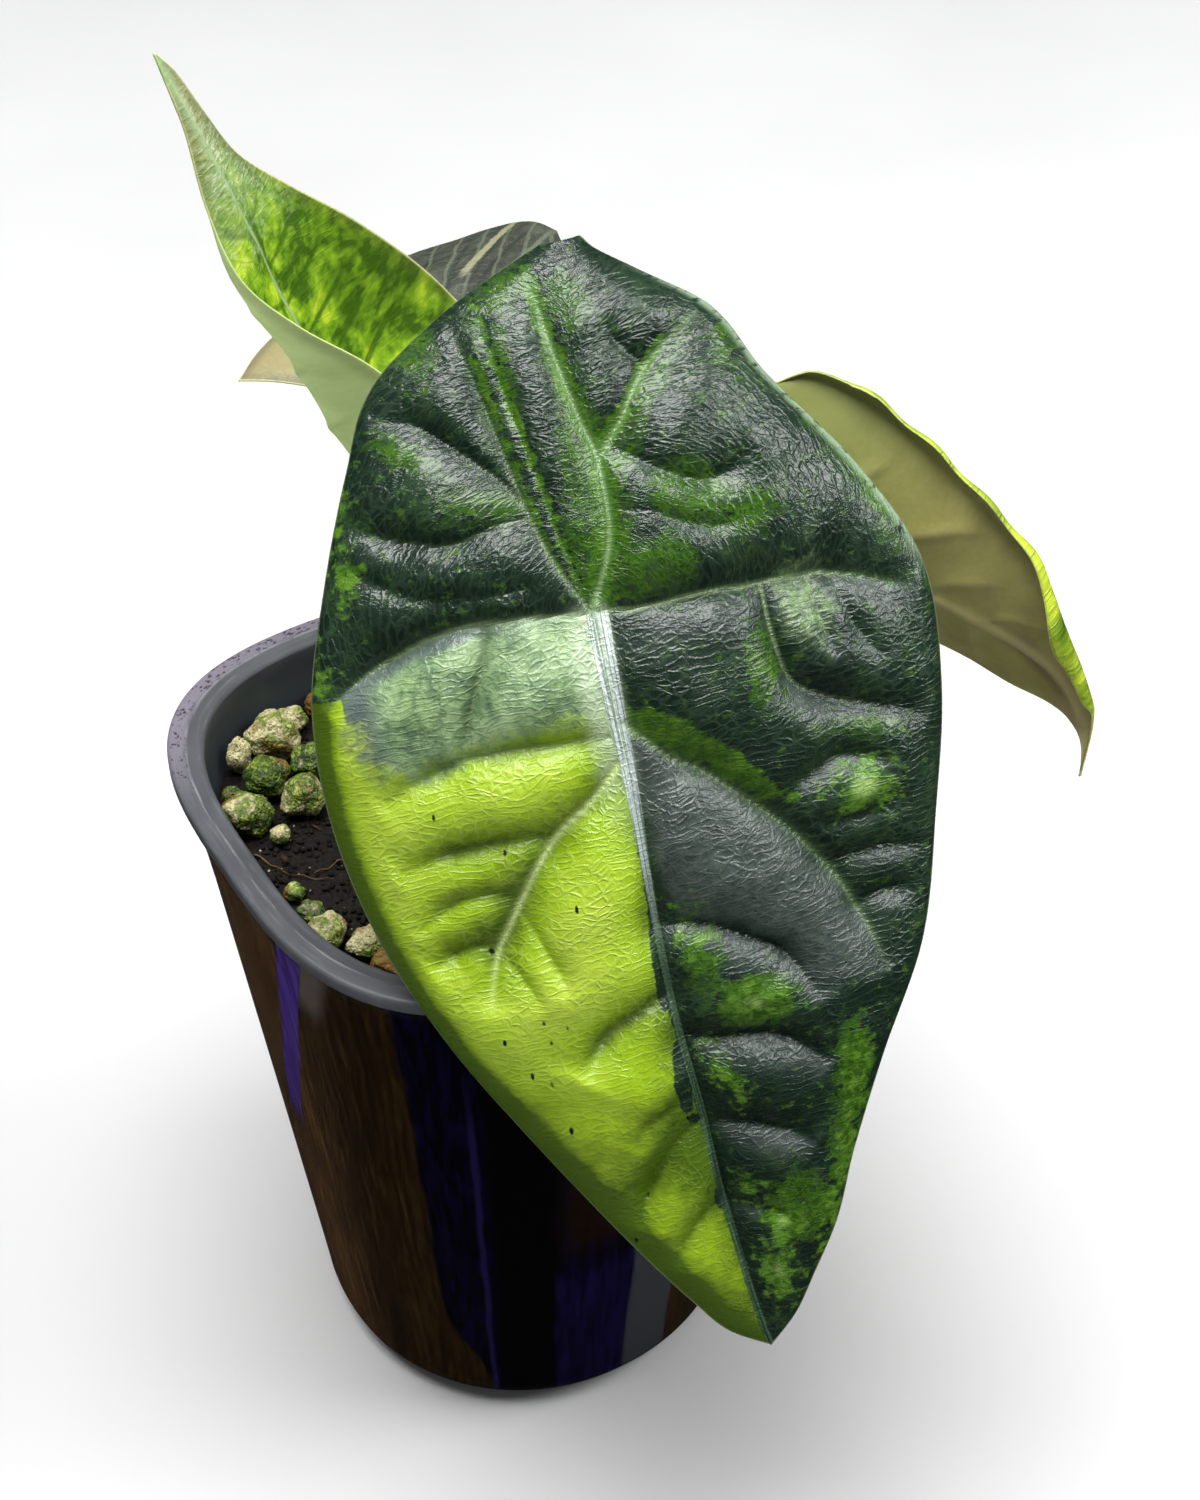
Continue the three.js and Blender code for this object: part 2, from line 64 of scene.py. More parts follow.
# Leaf charts. "along" runs from the hub, where the stalk joins, to the tip, "across" is to the
# right seen from above, "drop" is below the chart plane. A row is
# [along, left edge, midrib, right edge (across), left edge, midrib, right edge (drop)].
# "grid": rows of the mesh, and cells from midrib to margin
# "puff", "crinkle", "rib": heights of the fields between veins, of fine creases, of veins beneath
# "face": the way the upper side looks
# "curve", "sag", "roll": for the left and the right half, the power of its curve from midrib to
# margin, how much it sags between them as a share of its width, and the radius its margin rolls to
# "stalk_foot", "stalk": where the stalk leaves the stem, and spots on its way to the hub
LEAVES = {
    "front": {
        "slot": "dark_leaf", "grid": (240, 100), "thickness": 1.0,
        "puff": 4.7, "crinkle": 0.05, "rib": 0.55,
        "hub": (13.5, -40, 176), "tip": (37.5, -85, 84), "face": (0, -0.776, 0.631),
        "curve": (2.2, 2.2), "sag": (0, 0), "roll": (0, 0),
        "rows": [
            [-48, 4, 7, 10, 17, 15.3, 17],
            [-46, -1.5, 7.5, 11.5, 17.5, 14.5, 18],
            [-42, -11, 6.5, 16.5, 17, 12.5, 18],
            [-35, -22, 5, 25, 16, 9, 17],
            [-25, -28, 3, 30, 14.5, 5, 15.5],
            [-10, -35, 1, 39.5, 13, 1.5, 14],
            [5, -40.5, 0, 45.5, 12, 0.5, 13],
            [22, -42, -0.5, 44.5, 12, 0.5, 12],
            [40, -39.5, -1.5, 40, 11.5, 0.5, 12],
            [57, -33.5, -2, 34.5, 10.5, 1.5, 11],
            [72, -26, -1.5, 25.5, 9.5, 3.5, 10],
            [85, -19, -1.5, 18.5, 9, 6, 10],
            [95, -13.5, -1, 14, 9.5, 8, 10.5],
            [103, -9, -0.5, 9, 11, 10, 11.5],
            [109, -5, 0, 5, 12, 11.5, 12.5],
            [113, 0.5, 0.5, 0.5, 12.5, 12.5, 12.5],
        ],
        "stalk_foot": (2.6, -4.5),
        "stalk": [(3, -6, 132), (6.5, -15, 155), (12.6, -30, 171)],
    },
    "left": {
        "slot": "bright_leaf", "grid": (180, 48), "thickness": 0.7,
        "puff": 0.9, "crinkle": 0.05, "rib": 0.2,
        "hub": (-17, 20, 159), "tip": (-44, 4, 235), "face": (0.927, 0.121, 0.355),
        "curve": (1.6, 2.2), "sag": (0, 0.35), "roll": (0, 0),
        "rows": [
            [-16, -3, -3, -3, -8, -8, -8],
            [-12, -13, 0, 5, -17, -4, -4],
            [-6, -19, 2, 8, -21, -1, -6],
            [0, -21.5, 0, 10, -21, 0, -8],
            [10, -21, -2.5, 11, -18, 2, -11],
            [20, -18.5, -3.5, 10.5, -16, 2.5, -10.5],
            [30, -15, -3, 9.5, -13.5, 2, -6.5],
            [40, -12, -1.5, 9, -10, 1.5, -0.5],
            [50, -9, -0.5, 8, -5.5, 0.5, 3.5],
            [60, -5.5, 0.5, 4, -2, 0, 3.5],
            [70, -2, 0.5, 1.5, -1.5, 0, 1.5],
            [78, -0.6, 0.2, 0.8, -1, 0, 0.3],
            [81.8, 0, 0, 0, 0, 0, 0],
        ],
        "stalk_foot": (-5.2, 0),
        "stalk": [(-8, 3, 130), (-16, 12, 146), (-21.5, 18, 154)],
    },
    "right": {
        "slot": "olive_leaf", "grid": (150, 44), "thickness": 0.7,
        "puff": 1.0, "crinkle": 0.05, "rib": 0.2,
        "hub": (48, 13, 156), "tip": (89, -4, 120), "face": (0.547, 0.801, 0.244),
        "curve": (2, 2), "sag": (0, 0), "roll": (2.4, 0),
        "rows": [
            [-21, -9, -9, -9, -4.5, -4.5, -4.5],
            [-18, -12, -6.5, -2.5, -8, -3, -1],
            [-11, -13.5, -3.5, 2, -10, -0.5, 3],
            [0, -15.5, 0, 8, -10.5, 0, 5],
            [12, -16, -0.5, 12.5, -10.5, -2, 0],
            [24, -15.5, -2.5, 14.5, -10, -5, -7],
            [35, -13, -4, 13, -8, -7.5, -10.5],
            [43, -11, -5, 9.5, -7, -8, -10.5],
            [48, -9, -4.5, 4, -6, -7, -9],
            [51, -7, -4, 0.5, -5.5, -5.5, -7],
            [54, -4.5, -3, -1.5, -4, -4.5, -4],
            [58, 0, 0, 0, 0, 0, 0],
        ],
        "stalk_foot": (5, 1.4),
        "stalk": [(9, 1, 130), (24, 2, 146), (42, 6.5, 154)],
    },
    "back": {
        "slot": "dull_leaf", "grid": (130, 44), "thickness": 0.7,
        "puff": 0.9, "crinkle": 0.04, "rib": 0.2,
        "hub": (-8, 61, 167), "tip": (-44, 42, 164), "face": (0, -0.155, 0.988),
        "curve": (2, 2), "sag": (0, 0), "roll": (0, 0),
        "rows": [
            [-23.5, -13, -13, -13, 1.5, 1.5, 1.5],
            [-20.5, -19, -10, -4, 2.5, -1, 0],
            [-15, -21, -6.5, 3, 3, -1.5, 1],
            [-8, -21.5, -3, 10, 3.5, -1.5, 2.5],
            [0, -21.5, -0.5, 14, 3.5, -1, 3.5],
            [10, -20, 0, 15, 3.5, -0.5, 4],
            [20, -16, 0, 12, 2.5, -0.5, 3],
            [30, -10, 0, 6, 1.5, 0, 1.5],
            [36, -5, 0, 2.5, 0.5, 0, 0.5],
            [41, 0.3, 0.3, 0.3, 0, 0, 0],
        ],
        "stalk_foot": (-0.4, 5.2),
        "stalk": [(-1, 14, 134), (-4, 38, 150), (-7.6, 60, 158)],
    },
}

# The two folds that leave the front leaf's hub sideways, from left margin to right margin
LEFT_FOLD = [(-0.9, -0.4), (-6.7, -1.3), (-13.3, -2.1), (-18.3, -2.3), (-23.3, -1.7),
             (-27.5, -0.4), (-30.8, 0.8), (-34.2, 2.7), (-38, 5.4)]
RIGHT_FOLD = [(0.3, -0.2), (8.3, 0.6), (13.3, 0.4), (19.2, 0.9), (22.5, 1.2), (27.5, 1.6),
              (31.7, 2.1), (35.8, 3.8), (40, 6), (43.5, 8)]

# Sunken veins of each blade as (depth 0..1, reach in mm, paleness 0..1, route in the chart)
VEINS = {
    "front": [
        (0.85, 4.5, 0.0, [(-0.4, -0.8), (0, 5), (-0.5, 22), (-1.6, 40), (-2.2, 50), (-1.8, 60),
         (-1.2, 72), (-0.9, 85), (-0.5, 95), (-0.1, 103), (0.3, 111)]),
        (0.8, 5.0, 0.9, [(0, -1), (4.4, -10), (5.2, -20), (4, -26), (3, -32), (2.1, -40), (1.8, -45)]),
        (0.7, 4.0, 0.8, [(5.2, -20), (7.5, -22.5), (10, -25), (13.3, -29.2), (17, -32), (22.5, -34.4)]),
        (0.5, 2.5, 0, [(14, -31), (11.7, -33.3), (10, -36.5)]),
        (0.6, 3.0, 0, [(8, -21), (11, -18.5), (13.3, -16.7), (17, -14.3), (21, -14), (25, -15.5)]),
        (0.35, 2.5, 0, [(7, -13), (11, -11.5), (15, -9), (20, -7.5), (26, -9)]),
        (0.9, 4.5, 0.25, [(-0.6, -1), (-2.5, -5), (-4.4, -10), (-6, -16.7), (-7, -23), (-8.2, -30),
         (-9, -36), (-10.2, -42)]),
        (0.45, 2.5, 0, [(-1, -4), (-2.5, -12), (-3.4, -20), (-4.6, -28), (-5.6, -36), (-6, -42)]),
        (0.85, 4.0, 0, [(-6.3, -16.5), (-7.9, -19.6), (-10.4, -22.5), (-14.2, -26.3), (-18.3, -29.6),
         (-23.5, -30.2)]),
        (0.7, 3.5, 0, [(-6, -15), (-10, -14.6), (-16.7, -13.3), (-21.7, -14.6), (-26, -16),
         (-30.5, -18.5)]),
        (0.45, 2.5, 0, [(-8, -5.5), (-15, -5.8), (-22, -7), (-27, -9.5), (-31, -13)]),
        (1.0, 4.5, 0.2, LEFT_FOLD),
        (0.75, 2.0, 0, [(-15.4, -1), (-16.7, 3.3), (-19.2, 8.3), (-21.2, 13), (-22.5, 15.4)]),
        (0.75, 3.2, 0.1, [(-2, 16.7), (-6.7, 16.2), (-13.3, 15.4), (-16.7, 15.2), (-22.5, 15.6),
         (-25.8, 16.3), (-30, 17.7), (-34, 20)]),
        (1.0, 4.5, 0.75, [(-1.6, 20.5), (-5.8, 24.2), (-10, 26.7), (-13.3, 29.2), (-16.7, 32.9),
         (-20, 37.1), (-22.5, 40.4), (-24.2, 42.9), (-25.4, 46.7), (-26, 51)]),
        (0.8, 3.2, 0, [(-13, 28.8), (-15.8, 27.9), (-20, 27.6), (-25, 27.7), (-29, 28.1), (-34, 29.8)]),
        (0.6, 2.6, 0, [(-19.6, 36.2), (-22.5, 34.6), (-26.7, 34.6), (-30, 35.8), (-33.5, 38.6)]),
        (0.7, 2.8, 0, [(-24, 42.6), (-26.7, 41.8), (-30, 42.3), (-33, 44)]),
        (0.4, 2.0, 0, [(-20, 37.5), (-18.3, 40.8), (-16.2, 45.8), (-15, 50)]),
        (0.35, 1.8, 0, [(-24, 43.5), (-21.7, 46), (-19, 51)]),
        (0.85, 3.6, 0.15, [(-2.3, 54.2), (-4.5, 54.9), (-8.3, 56.3), (-11.7, 57.9), (-14.2, 60.2),
         (-16.2, 62.8)]),
        (0.35, 2.4, 0, [(-1.6, 69), (-5, 70.4), (-9.2, 72.2), (-12, 75)]),
        (0.7, 3.4, 0, [(-1.7, 74.2), (-5.8, 76.3), (-9.2, 79.6), (-11.7, 83), (-13.5, 88)]),
        (0.35, 2.6, 0, [(-1, 87), (-5, 89), (-8, 92), (-9.5, 96)]),
        (1.0, 4.5, 0.3, RIGHT_FOLD),
        (0.8, 3.2, 0, [(23.3, 1.6), (22.9, 6.7), (23.2, 11.7), (24.2, 15.4), (26.7, 17.6), (30, 19.6),
         (34.2, 21.6), (37.5, 23.1), (41, 25.2)]),
        (0.35, 2.0, 0, [(29.6, 2.2), (29.6, 8.3), (30.4, 14)]),
        (0.4, 2.2, 0, [(33, 2.8), (33.4, 8.3), (34.6, 12), (37, 16)]),
        (0.95, 4.5, 0.5, [(0.2, 15), (5, 20.6), (9.2, 23.8), (13.3, 27.9), (16.7, 31.7), (20, 35.8),
         (22.5, 39.6), (25, 44.2), (26.7, 49.2), (27.6, 54), (27.8, 59)]),
        (0.6, 2.6, 0, [(22.5, 28.8), (25, 27.9), (28, 27.2), (31.7, 28.3), (35.5, 30)]),
        (0.45, 2.2, 0, [(23, 35.4), (26, 36), (30, 36.3), (36, 35)]),
        (0.7, 2.8, 0, [(24, 42.2), (28.3, 41.8), (32.5, 42), (38, 43.6)]),
        (0.6, 2.4, 0, [(26.6, 48.9), (30, 48.2), (35.5, 48.9)]),
        (0.85, 3.6, 0, [(-1.6, 43.6), (1.7, 44.1), (5, 45), (8.3, 46.9), (11.7, 49.2), (14.2, 51),
         (15.8, 53.3), (16.9, 56), (18.3, 59.5)]),
        (0.8, 3.4, 0, [(-1, 60.7), (1.7, 61.6), (5, 62.2), (8.3, 62.7), (11.7, 63.8), (15, 66.3),
         (17.4, 69.5)]),
        (0.7, 3.2, 0, [(-0.7, 74.4), (2.5, 75.3), (6.7, 76.7), (10, 78.3), (13, 80.6)]),
        (0.35, 2.6, 0, [(-0.5, 88), (4, 89.5), (8, 92)]),
    ],
    "left": [
        (0.9, 3.2, 0, [(0, 0), (-2.5, 10), (-3.2, 20), (-2.6, 30), (-1.5, 40), (-0.5, 50), (0.4, 60),
         (0.5, 70), (0.2, 78)]),
        (0.8, 3.0, 0, [(0, 0), (-6, -5), (-13, -10)]),
        (0.8, 3.0, 0, [(0, 0), (-7, -1), (-14, 1), (-20, 6)]),
        (0.8, 3.0, 0, [(-2.6, 12), (-8, 13.5), (-13, 17.5), (-16.5, 22)]),
        (0.5, 2.4, 0, [(-3.2, 20), (-7, 21), (-11, 24), (-14, 28)]),
        (0.6, 2.4, 0, [(-2.7, 28), (-6, 28.6), (-9.5, 31), (-12, 35)]),
        (0.6, 2.4, 0, [(-1.9, 36), (-5, 36.4), (-8, 38.5), (-10, 42)]),
        (0.6, 2.2, 0, [(-1.2, 43.5), (-4, 43.8), (-6.5, 45.6), (-8.5, 49)]),
        (0.4, 2.0, 0, [(-0.3, 51.5), (-3, 52), (-5.5, 55)]),
        (0.8, 3.0, 0, [(0, 0), (3, -5), (5, -9)]),
        (0.7, 2.6, 0, [(0, 0), (5, 2), (9.5, 8)]),
        (0.6, 2.4, 0, [(-3, 14), (2, 16), (8, 22)]),
        (0.6, 2.4, 0, [(-2.9, 25), (2, 27.5), (8, 33)]),
        (0.6, 2.2, 0, [(-1.8, 37), (2.5, 39.5), (7.5, 45)]),
        (0.4, 2.0, 0, [(-0.4, 50), (2.5, 53), (5, 57)]),
    ],
    "right": [
        (0.8, 3.0, 0, [(0, 0), (-0.5, 12), (-2.5, 24), (-4, 35), (-5, 43), (-4.2, 50), (-3, 54)]),
        (0.7, 3.0, 0, [(0, 0), (-4, -8), (-8.5, -16)]),
        (0.7, 2.8, 0, [(0, 0), (-7, -2), (-13.5, 0)]),
        (0.7, 2.6, 0, [(-0.3, 7), (-6, 9), (-12, 14), (-14.5, 18)]),
        (0.6, 2.4, 0, [(-1.3, 18), (-6, 20.5), (-11, 26)]),
        (0.5, 2.2, 0, [(-3, 28), (-7, 31), (-11, 37)]),
        (0.7, 2.8, 0, [(0, 0), (3, -3), (5, -6)]),
        (0.6, 2.6, 0, [(-0.2, 5), (5, 7), (10.5, 12)]),
        (0.6, 2.4, 0, [(-1.2, 17), (5, 20), (12, 26)]),
        (0.5, 2.2, 0, [(-3, 27), (3, 31), (10, 37)]),
    ],
    "back": [
        (0.8, 3.0, 0, [(0, 0), (0, 10), (0, 20), (0, 30), (0.2, 38)]),
        (0.6, 2.6, 0, [(-0.3, 0), (-6, -7), (-11, -15), (-13, -20)]),
        (0.5, 2.2, 0, [(-0.4, 1), (-7, -5), (-13, -12), (-18, -18)]),
        (0.5, 2.2, 0, [(-0.4, 4), (-7, 0), (-14, -6), (-20, -12)]),
        (0.5, 2.2, 0, [(-0.3, 10), (-7, 6.5), (-14, 1), (-20.5, -4)]),
        (0.5, 2.2, 0, [(-0.2, 16), (-7, 13), (-14, 8.5), (-20, 5)]),
        (0.4, 2.0, 0, [(0, 23), (-6, 21), (-12, 18)]),
        (0.6, 2.6, 0, [(-0.3, 0), (3, -5), (5, -8)]),
        (0.5, 2.2, 0, [(-0.3, 2), (6, 0), (12, 1)]),
        (0.5, 2.2, 0, [(-0.2, 9), (6, 8.5), (13, 11)]),
        (0.5, 2.2, 0, [(0, 18), (5, 18.5), (10, 22)]),
    ],
}


# Shader maths written as Python expressions

def plug(links, target, value):
    if isinstance(value, Wire):
        links.new(value.socket, target)
    elif target.type == "RGBA" and len(value) == 3:
        target.default_value = (*value, 1)
    else:
        target.default_value = value


class Wire:
    """A shader socket on which Python's operators add Math nodes."""

    def __init__(self, finish, socket):
        self.finish, self.socket = finish, socket

    def math(self, operation, *values):
        return self.finish.math_node(operation, *values)

    def __add__(self, other):
        return self.math("ADD", self, other)

    __radd__ = __add__

    def __sub__(self, other):
        return self.math("SUBTRACT", self, other)

    def __rsub__(self, other):
        return self.math("SUBTRACT", other, self)

    def __mul__(self, other):
        return self.math("MULTIPLY", self, other)

    __rmul__ = __mul__

    def __truediv__(self, other):
        return self.math("DIVIDE", self, other)

    def __abs__(self):
        return self.math("ABSOLUTE", self)

    def most(self, other):
        return self.math("MAXIMUM", self, other)

    def sine(self):
        return self.math("SINE", self)

    def rise(self, low, high):
        """0 below low, 1 above high, with an eased step between them."""
        return self.finish.node("MapRange", {"interpolation_type": "SMOOTHSTEP"},
                                {"Value": self, "From Min": low, "From Max": high})

    def fall(self, low, high):
        return 1 - self.rise(low, high)


class NodeTree:
    """Adds shader nodes, with their settings, values and links in one call."""

    def __init__(self, tree):
        self.nodes, self.links = tree.nodes, tree.links

    def node(self, kind, settings=None, sockets=None, output=0):
        made = self.nodes.new("ShaderNode" + kind)
        for key, value in (settings or {}).items():
            if key == "stops":
                self.set_stops(made.color_ramp, value)
            else:
                setattr(made, key, value)
        for key, value in (sockets or {}).items():
            plug(self.links, made.inputs[key], value)
        return Wire(self, made.outputs[output])

    def math_node(self, operation, *values):
        return self.node("Math", {"operation": operation}, dict(enumerate(values)))

    @staticmethod
    def set_stops(ramp, stops):
        for position, _ in stops[2:]:
            ramp.elements.new(position)
        for element, (position, colour) in zip(ramp.elements, stops):
            element.position = position
            element.color = (*colour, 1)


class Finish(NodeTree):
    """One procedural material, built round its Principled shader."""

    def __init__(self, name, **constants):
        self.material = bpy.data.materials.new(name)
        self.material.use_nodes = True
        super().__init__(self.material.node_tree)
        self.shader = self.nodes["Principled BSDF"]
        for socket, value in constants.items():
            self.shader.inputs[socket.replace("_", " ")].default_value = value

    def place(self):
        """Where a point of the surface is, in mm."""
        here = self.node("TexCoord", output="Object")
        return self.stretch(here, 1 / MM)

    def mark(self, name, output="Fac"):
        return self.node("Attribute", {"attribute_name": name}, output=output)

    def vector(self, *values):
        return self.node("CombineXYZ", None, dict(enumerate(values)))

    def stretch(self, vector, by):
        by = (by,) * 3 if isinstance(by, (int, float)) else by
        return self.node("VectorMath", {"operation": "MULTIPLY"}, {0: vector, 1: by})

    def shift(self, vector, by):
        return self.node("VectorMath", {"operation": "ADD"}, {0: vector, 1: by})

    def warp(self, vector, size, amount):
        """Pushes a place about by noise of that size."""
        push = self.node("TexNoise", None, {"Vector": vector, "Scale": 1 / size, "Detail": 2.0},
                         "Color")
        centred = self.shift(push, (-0.5, -0.5, -0.5))
        return self.shift(vector, self.stretch(centred, 2 * amount))

    def parts(self, vector):
        return [self.node("SeparateXYZ", None, {0: vector}, axis) for axis in "XYZ"]

    def cloud(self, vector, size, detail=3.0, roughness=0.55, distortion=0.0):
        """Noise round 0.5, with lumps of that size in mm."""
        return self.node("TexNoise", None, {
            "Vector": vector, "Scale": 1 / size, "Detail": detail, "Roughness": roughness,
            "Distortion": distortion})

    def cells(self, vector, size, feature="F1", output="Distance"):
        """Distance to the nearest centre of a scatter of cells of that size in mm."""
        return self.node("TexVoronoi", {"feature": feature}, {
            "Vector": vector, "Scale": 1 / size}, output)

    def lot(self, vector, size):
        """A random number from 0 to 1 for each cell of that scatter."""
        return self.parts(self.cells(vector, size, output="Color"))[0]

    def net(self, vector, size, width):
        """1 on the lines of a net with meshes of that size, 0 off them."""
        gap = self.cells(vector, size, "DISTANCE_TO_EDGE")
        return gap.fall(0.0, width / size)

    def blend(self, factor, first, second):
        return self.node("Mix", {"data_type": "RGBA"}, {0: factor, 6: first, 7: second}, 2)

    def tint(self, factor, stops):
        return self.node("ValToRGB", {"stops": stops}, {0: factor}, "Color")

    def relief(self, height):
        """A normal bent by a height in mm."""
        return self.node("Bump", None, {"Height": height, "Distance": MM, "Strength": 1.0}, "Normal")

    def wear(self, **links):
        for socket, value in links.items():
            plug(self.links, self.shader.inputs[socket.replace("_", " ")], value)
        return self.material


# Mesh helpers

def unit(vector):
    vector = np.asarray(vector, float)
    return vector / np.linalg.norm(vector, axis=-1, keepdims=True)


def smooth_route(points, steps=6):
    """Points on a curve through the given ones."""
    p = np.asarray(points, float)
    p = np.vstack([2 * p[0] - p[1], p, 2 * p[-1] - p[-2]])
    t = np.linspace(0, 1, steps, endpoint=False)[:, None]
    runs = []
    for a, b, c, d in zip(p, p[1:], p[2:], p[3:]):
        runs.append(b + 0.5 * t * (c - a + t * (2 * a - 5 * b + 4 * c - d + t * (3 * (b - c) + d - a))))
    return np.vstack([*runs, p[-2:-1]])


def wavy(points, size, seed=0.0):
    """Smooth noise from -1 to 1 at each point, with lumps of that size."""
    scaled = np.asarray(points, float) / size + seed
    return np.array([noise.noise(Vector(p)) for p in scaled])


def rugged(points, size, octaves, seed=0.0):
    """Noise with finer lumps on its lumps."""
    scaled = np.asarray(points, float) / size + seed
    return np.array([noise.fractal(Vector(p), 1.0, 2.0, octaves) for p in scaled])


def make_piece(name, points, faces, materials, replaces=(), face_materials=None, marks=None,
               merge=0.0):
    """A mesh piece from points in mm, riding on the one body, in place of its CAD nodes. marks
    are values at its points, for its finishes; points closer than merge mm become one."""
    mesh = bpy.data.meshes.new(name)
    mesh.from_pydata((np.asarray(points, float) * MM).tolist(), [], faces)
    for key, values in (marks or {}).items():
        values = np.asarray(values, np.float32)
        kind = "FLOAT" if values.ndim == 1 else "FLOAT_VECTOR"
        layer = mesh.attributes.new(key, kind, "POINT")
        layer.data.foreach_set("value" if kind == "FLOAT" else "vector", values.ravel())
    for material in materials:
        mesh.materials.append(material)
    if face_materials is not None:
        mesh.polygons.foreach_set("material_index", np.asarray(face_materials, np.int32))
    mesh.polygons.foreach_set("use_smooth", [True] * len(mesh.polygons))
    if merge:
        work = bmesh.new()
        work.from_mesh(mesh)
        bmesh.ops.remove_doubles(work, verts=work.verts, dist=merge * MM)
        bmesh.ops.dissolve_degenerate(work, edges=work.edges, dist=merge * MM * 0.1)
        work.to_mesh(mesh)
        work.free()
    mesh.update()
    piece = bpy.data.objects.new(name, mesh)
    bpy.context.scene.collection.objects.link(piece)
    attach(piece, "root")
    if replaces:
        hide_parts(*replaces)
    return piece


def grid_faces(rows, columns, start=0, flip=False, closed=False):
    """Quads of a grid of points stored row by row; a closed grid joins its last column to its first."""
    r, c = np.meshgrid(np.arange(rows - 1), np.arange(columns if closed else columns - 1),
                       indexing="ij")
    a = start + r * columns + c
    b = start + r * columns + (c + 1) % columns
    quads = np.stack([a, b, b + columns, a + columns], -1).reshape(-1, 4)
    return (quads[:, ::-1] if flip else quads).tolist()


def plain_shape(build):
    """Points and faces of a shape that build(work) makes in an empty bmesh."""
    work = bmesh.new()
    build(work)
    points = np.array([v.co[:] for v in work.verts])
    faces = [[v.index for v in face.verts] for face in work.faces]
    work.free()
    return points, faces


def ball(subdivisions):
    return plain_shape(lambda work: bmesh.ops.create_icosphere(
        work, subdivisions=subdivisions, radius=1.0))


def about_z(angle):
    """The matrix that turns points about the vertical."""
    return np.array([[math.cos(angle), -math.sin(angle), 0],
                     [math.sin(angle), math.cos(angle), 0], [0, 0, 1]])


# Leaf blades

def chart_axes(leaf):
    hub = np.array(leaf["hub"], float)
    along = unit(np.array(leaf["tip"]) - hub)
    face = np.array(leaf["face"], float)
    up = unit(face - along * (face @ along))
    return hub, along, up, np.cross(up, along)


def rows_at(leaf, v):
    """The chart's rows at each v, on cubic curves through the given rows."""
    rows = np.array(leaf["rows"], float)
    last = len(rows) - 1
    index = np.arange(last + 1)
    before, after = rows[np.maximum(index - 1, 0)], rows[np.minimum(index + 1, last)]
    slope = (after - before) / (after - before)[:, :1]
    i = np.clip(np.searchsorted(rows[:, 0], v, side="right") - 1, 0, last - 1)
    span = (rows[i + 1, 0] - rows[i, 0])[:, None]
    t = ((v - rows[i, 0]) / span[:, 0])[:, None]
    return ((2 * t**3 - 3 * t**2 + 1) * rows[i] + (3 * t**2 - 2 * t**3) * rows[i + 1]
            + span * ((t**3 - 2 * t**2 + t) * slope[i] + (t**3 - t**2) * slope[i + 1]))


# A rolled margin: how far it turns, in radians, and in how many cells
ROLL_TURN, ROLL_CELLS = 2.3, 14
# Brings the peak of a * a * (1 - a) to 1
SAG_SCALE = 6.75


def half_section(edge, mid, edge_drop, mid_drop, curve, sag, roll, cells, growth):
    """Half of every cross section, from the midrib outwards: across and drop. growth scales the
    rolled margin's radius along the blade."""
    width = np.abs(edge - mid)
    side = np.where(edge < mid, -1.0, 1.0)
    a = (np.arange(1, cells + 1) / cells)[None, :]
    across = mid[:, None] + (edge - mid)[:, None] * a
    drop = (mid_drop[:, None] + (edge_drop - mid_drop)[:, None] * a**curve
            + sag * width[:, None] * SAG_SCALE * a**2 * (1 - a))
    if roll:
        radius = (roll * np.minimum(1, width / 10) * growth)[:, None]
        start = np.arctan2((edge_drop - mid_drop) * curve - SAG_SCALE * sag * width, width)[:, None]
        turn = start + ROLL_TURN * (np.arange(1, ROLL_CELLS + 1) / ROLL_CELLS)[None, :]
        rolled = edge[:, None] + side[:, None] * radius * (np.sin(turn) - np.sin(start))
        across = np.hstack([across, rolled])
        drop = np.hstack([drop, edge_drop[:, None] + radius * (np.cos(start) - np.cos(turn))])
    return across, drop


def blade_grid(leaf):
    """The smooth blade: points in mm, across and along of each, its distance to the margin, and
    the midrib's place across each row."""
    row_count, cells = leaf["grid"]
    first, last = leaf["rows"][0][0], leaf["rows"][-1][0]
    # The rows lie a little closer together towards both ends
    t = np.linspace(0, 1, row_count)
    eased = 0.65 * t + 0.35 * (1 - np.cos(np.pi * t)) / 2
    v = first + (last - first) * eased
    _, left, mid, right, left_drop, mid_drop, right_drop = rows_at(leaf, v).T
    # The roll is widest 38 mm from the hub, and a little wavy
    growth = 0.8 + 0.75 * np.exp(-((v - 38) / 13) ** 2) + 0.12 * np.sin(v * 0.55)
    halves = [half_section(edge, mid, drop, mid_drop, leaf["curve"][k], leaf["sag"][k],
                           leaf["roll"][k], cells, growth)
              for k, (edge, drop) in enumerate([(left, left_drop), (right, right_drop)])]
    u, drop = [np.hstack([halves[0][k][:, ::-1], centre[:, None], halves[1][k]])
               for k, centre in enumerate([mid, mid_drop])]
    hub, along, up, across = chart_axes(leaf)
    v = np.repeat(v[:, None], u.shape[1], 1)
    points = (hub + along * v[..., None] + across * u[..., None] - up * drop[..., None])
    gap = np.full(u.shape, np.inf)
    for spot in np.vstack([points[:, 0], points[:, -1]]):
        gap = np.minimum(gap, np.linalg.norm(points - spot, axis=-1))
    return points, u, v, gap, mid[:, None]


def grid_normals(points):
    du = np.gradient(points, axis=1)
    dv = np.gradient(points, axis=0)
    normal = np.cross(dv, du)
    length = np.linalg.norm(normal, axis=-1, keepdims=True)
    normal = normal / np.maximum(length, 1e-9)
    normal[0], normal[-1] = normal[1], normal[-2]
    return normal


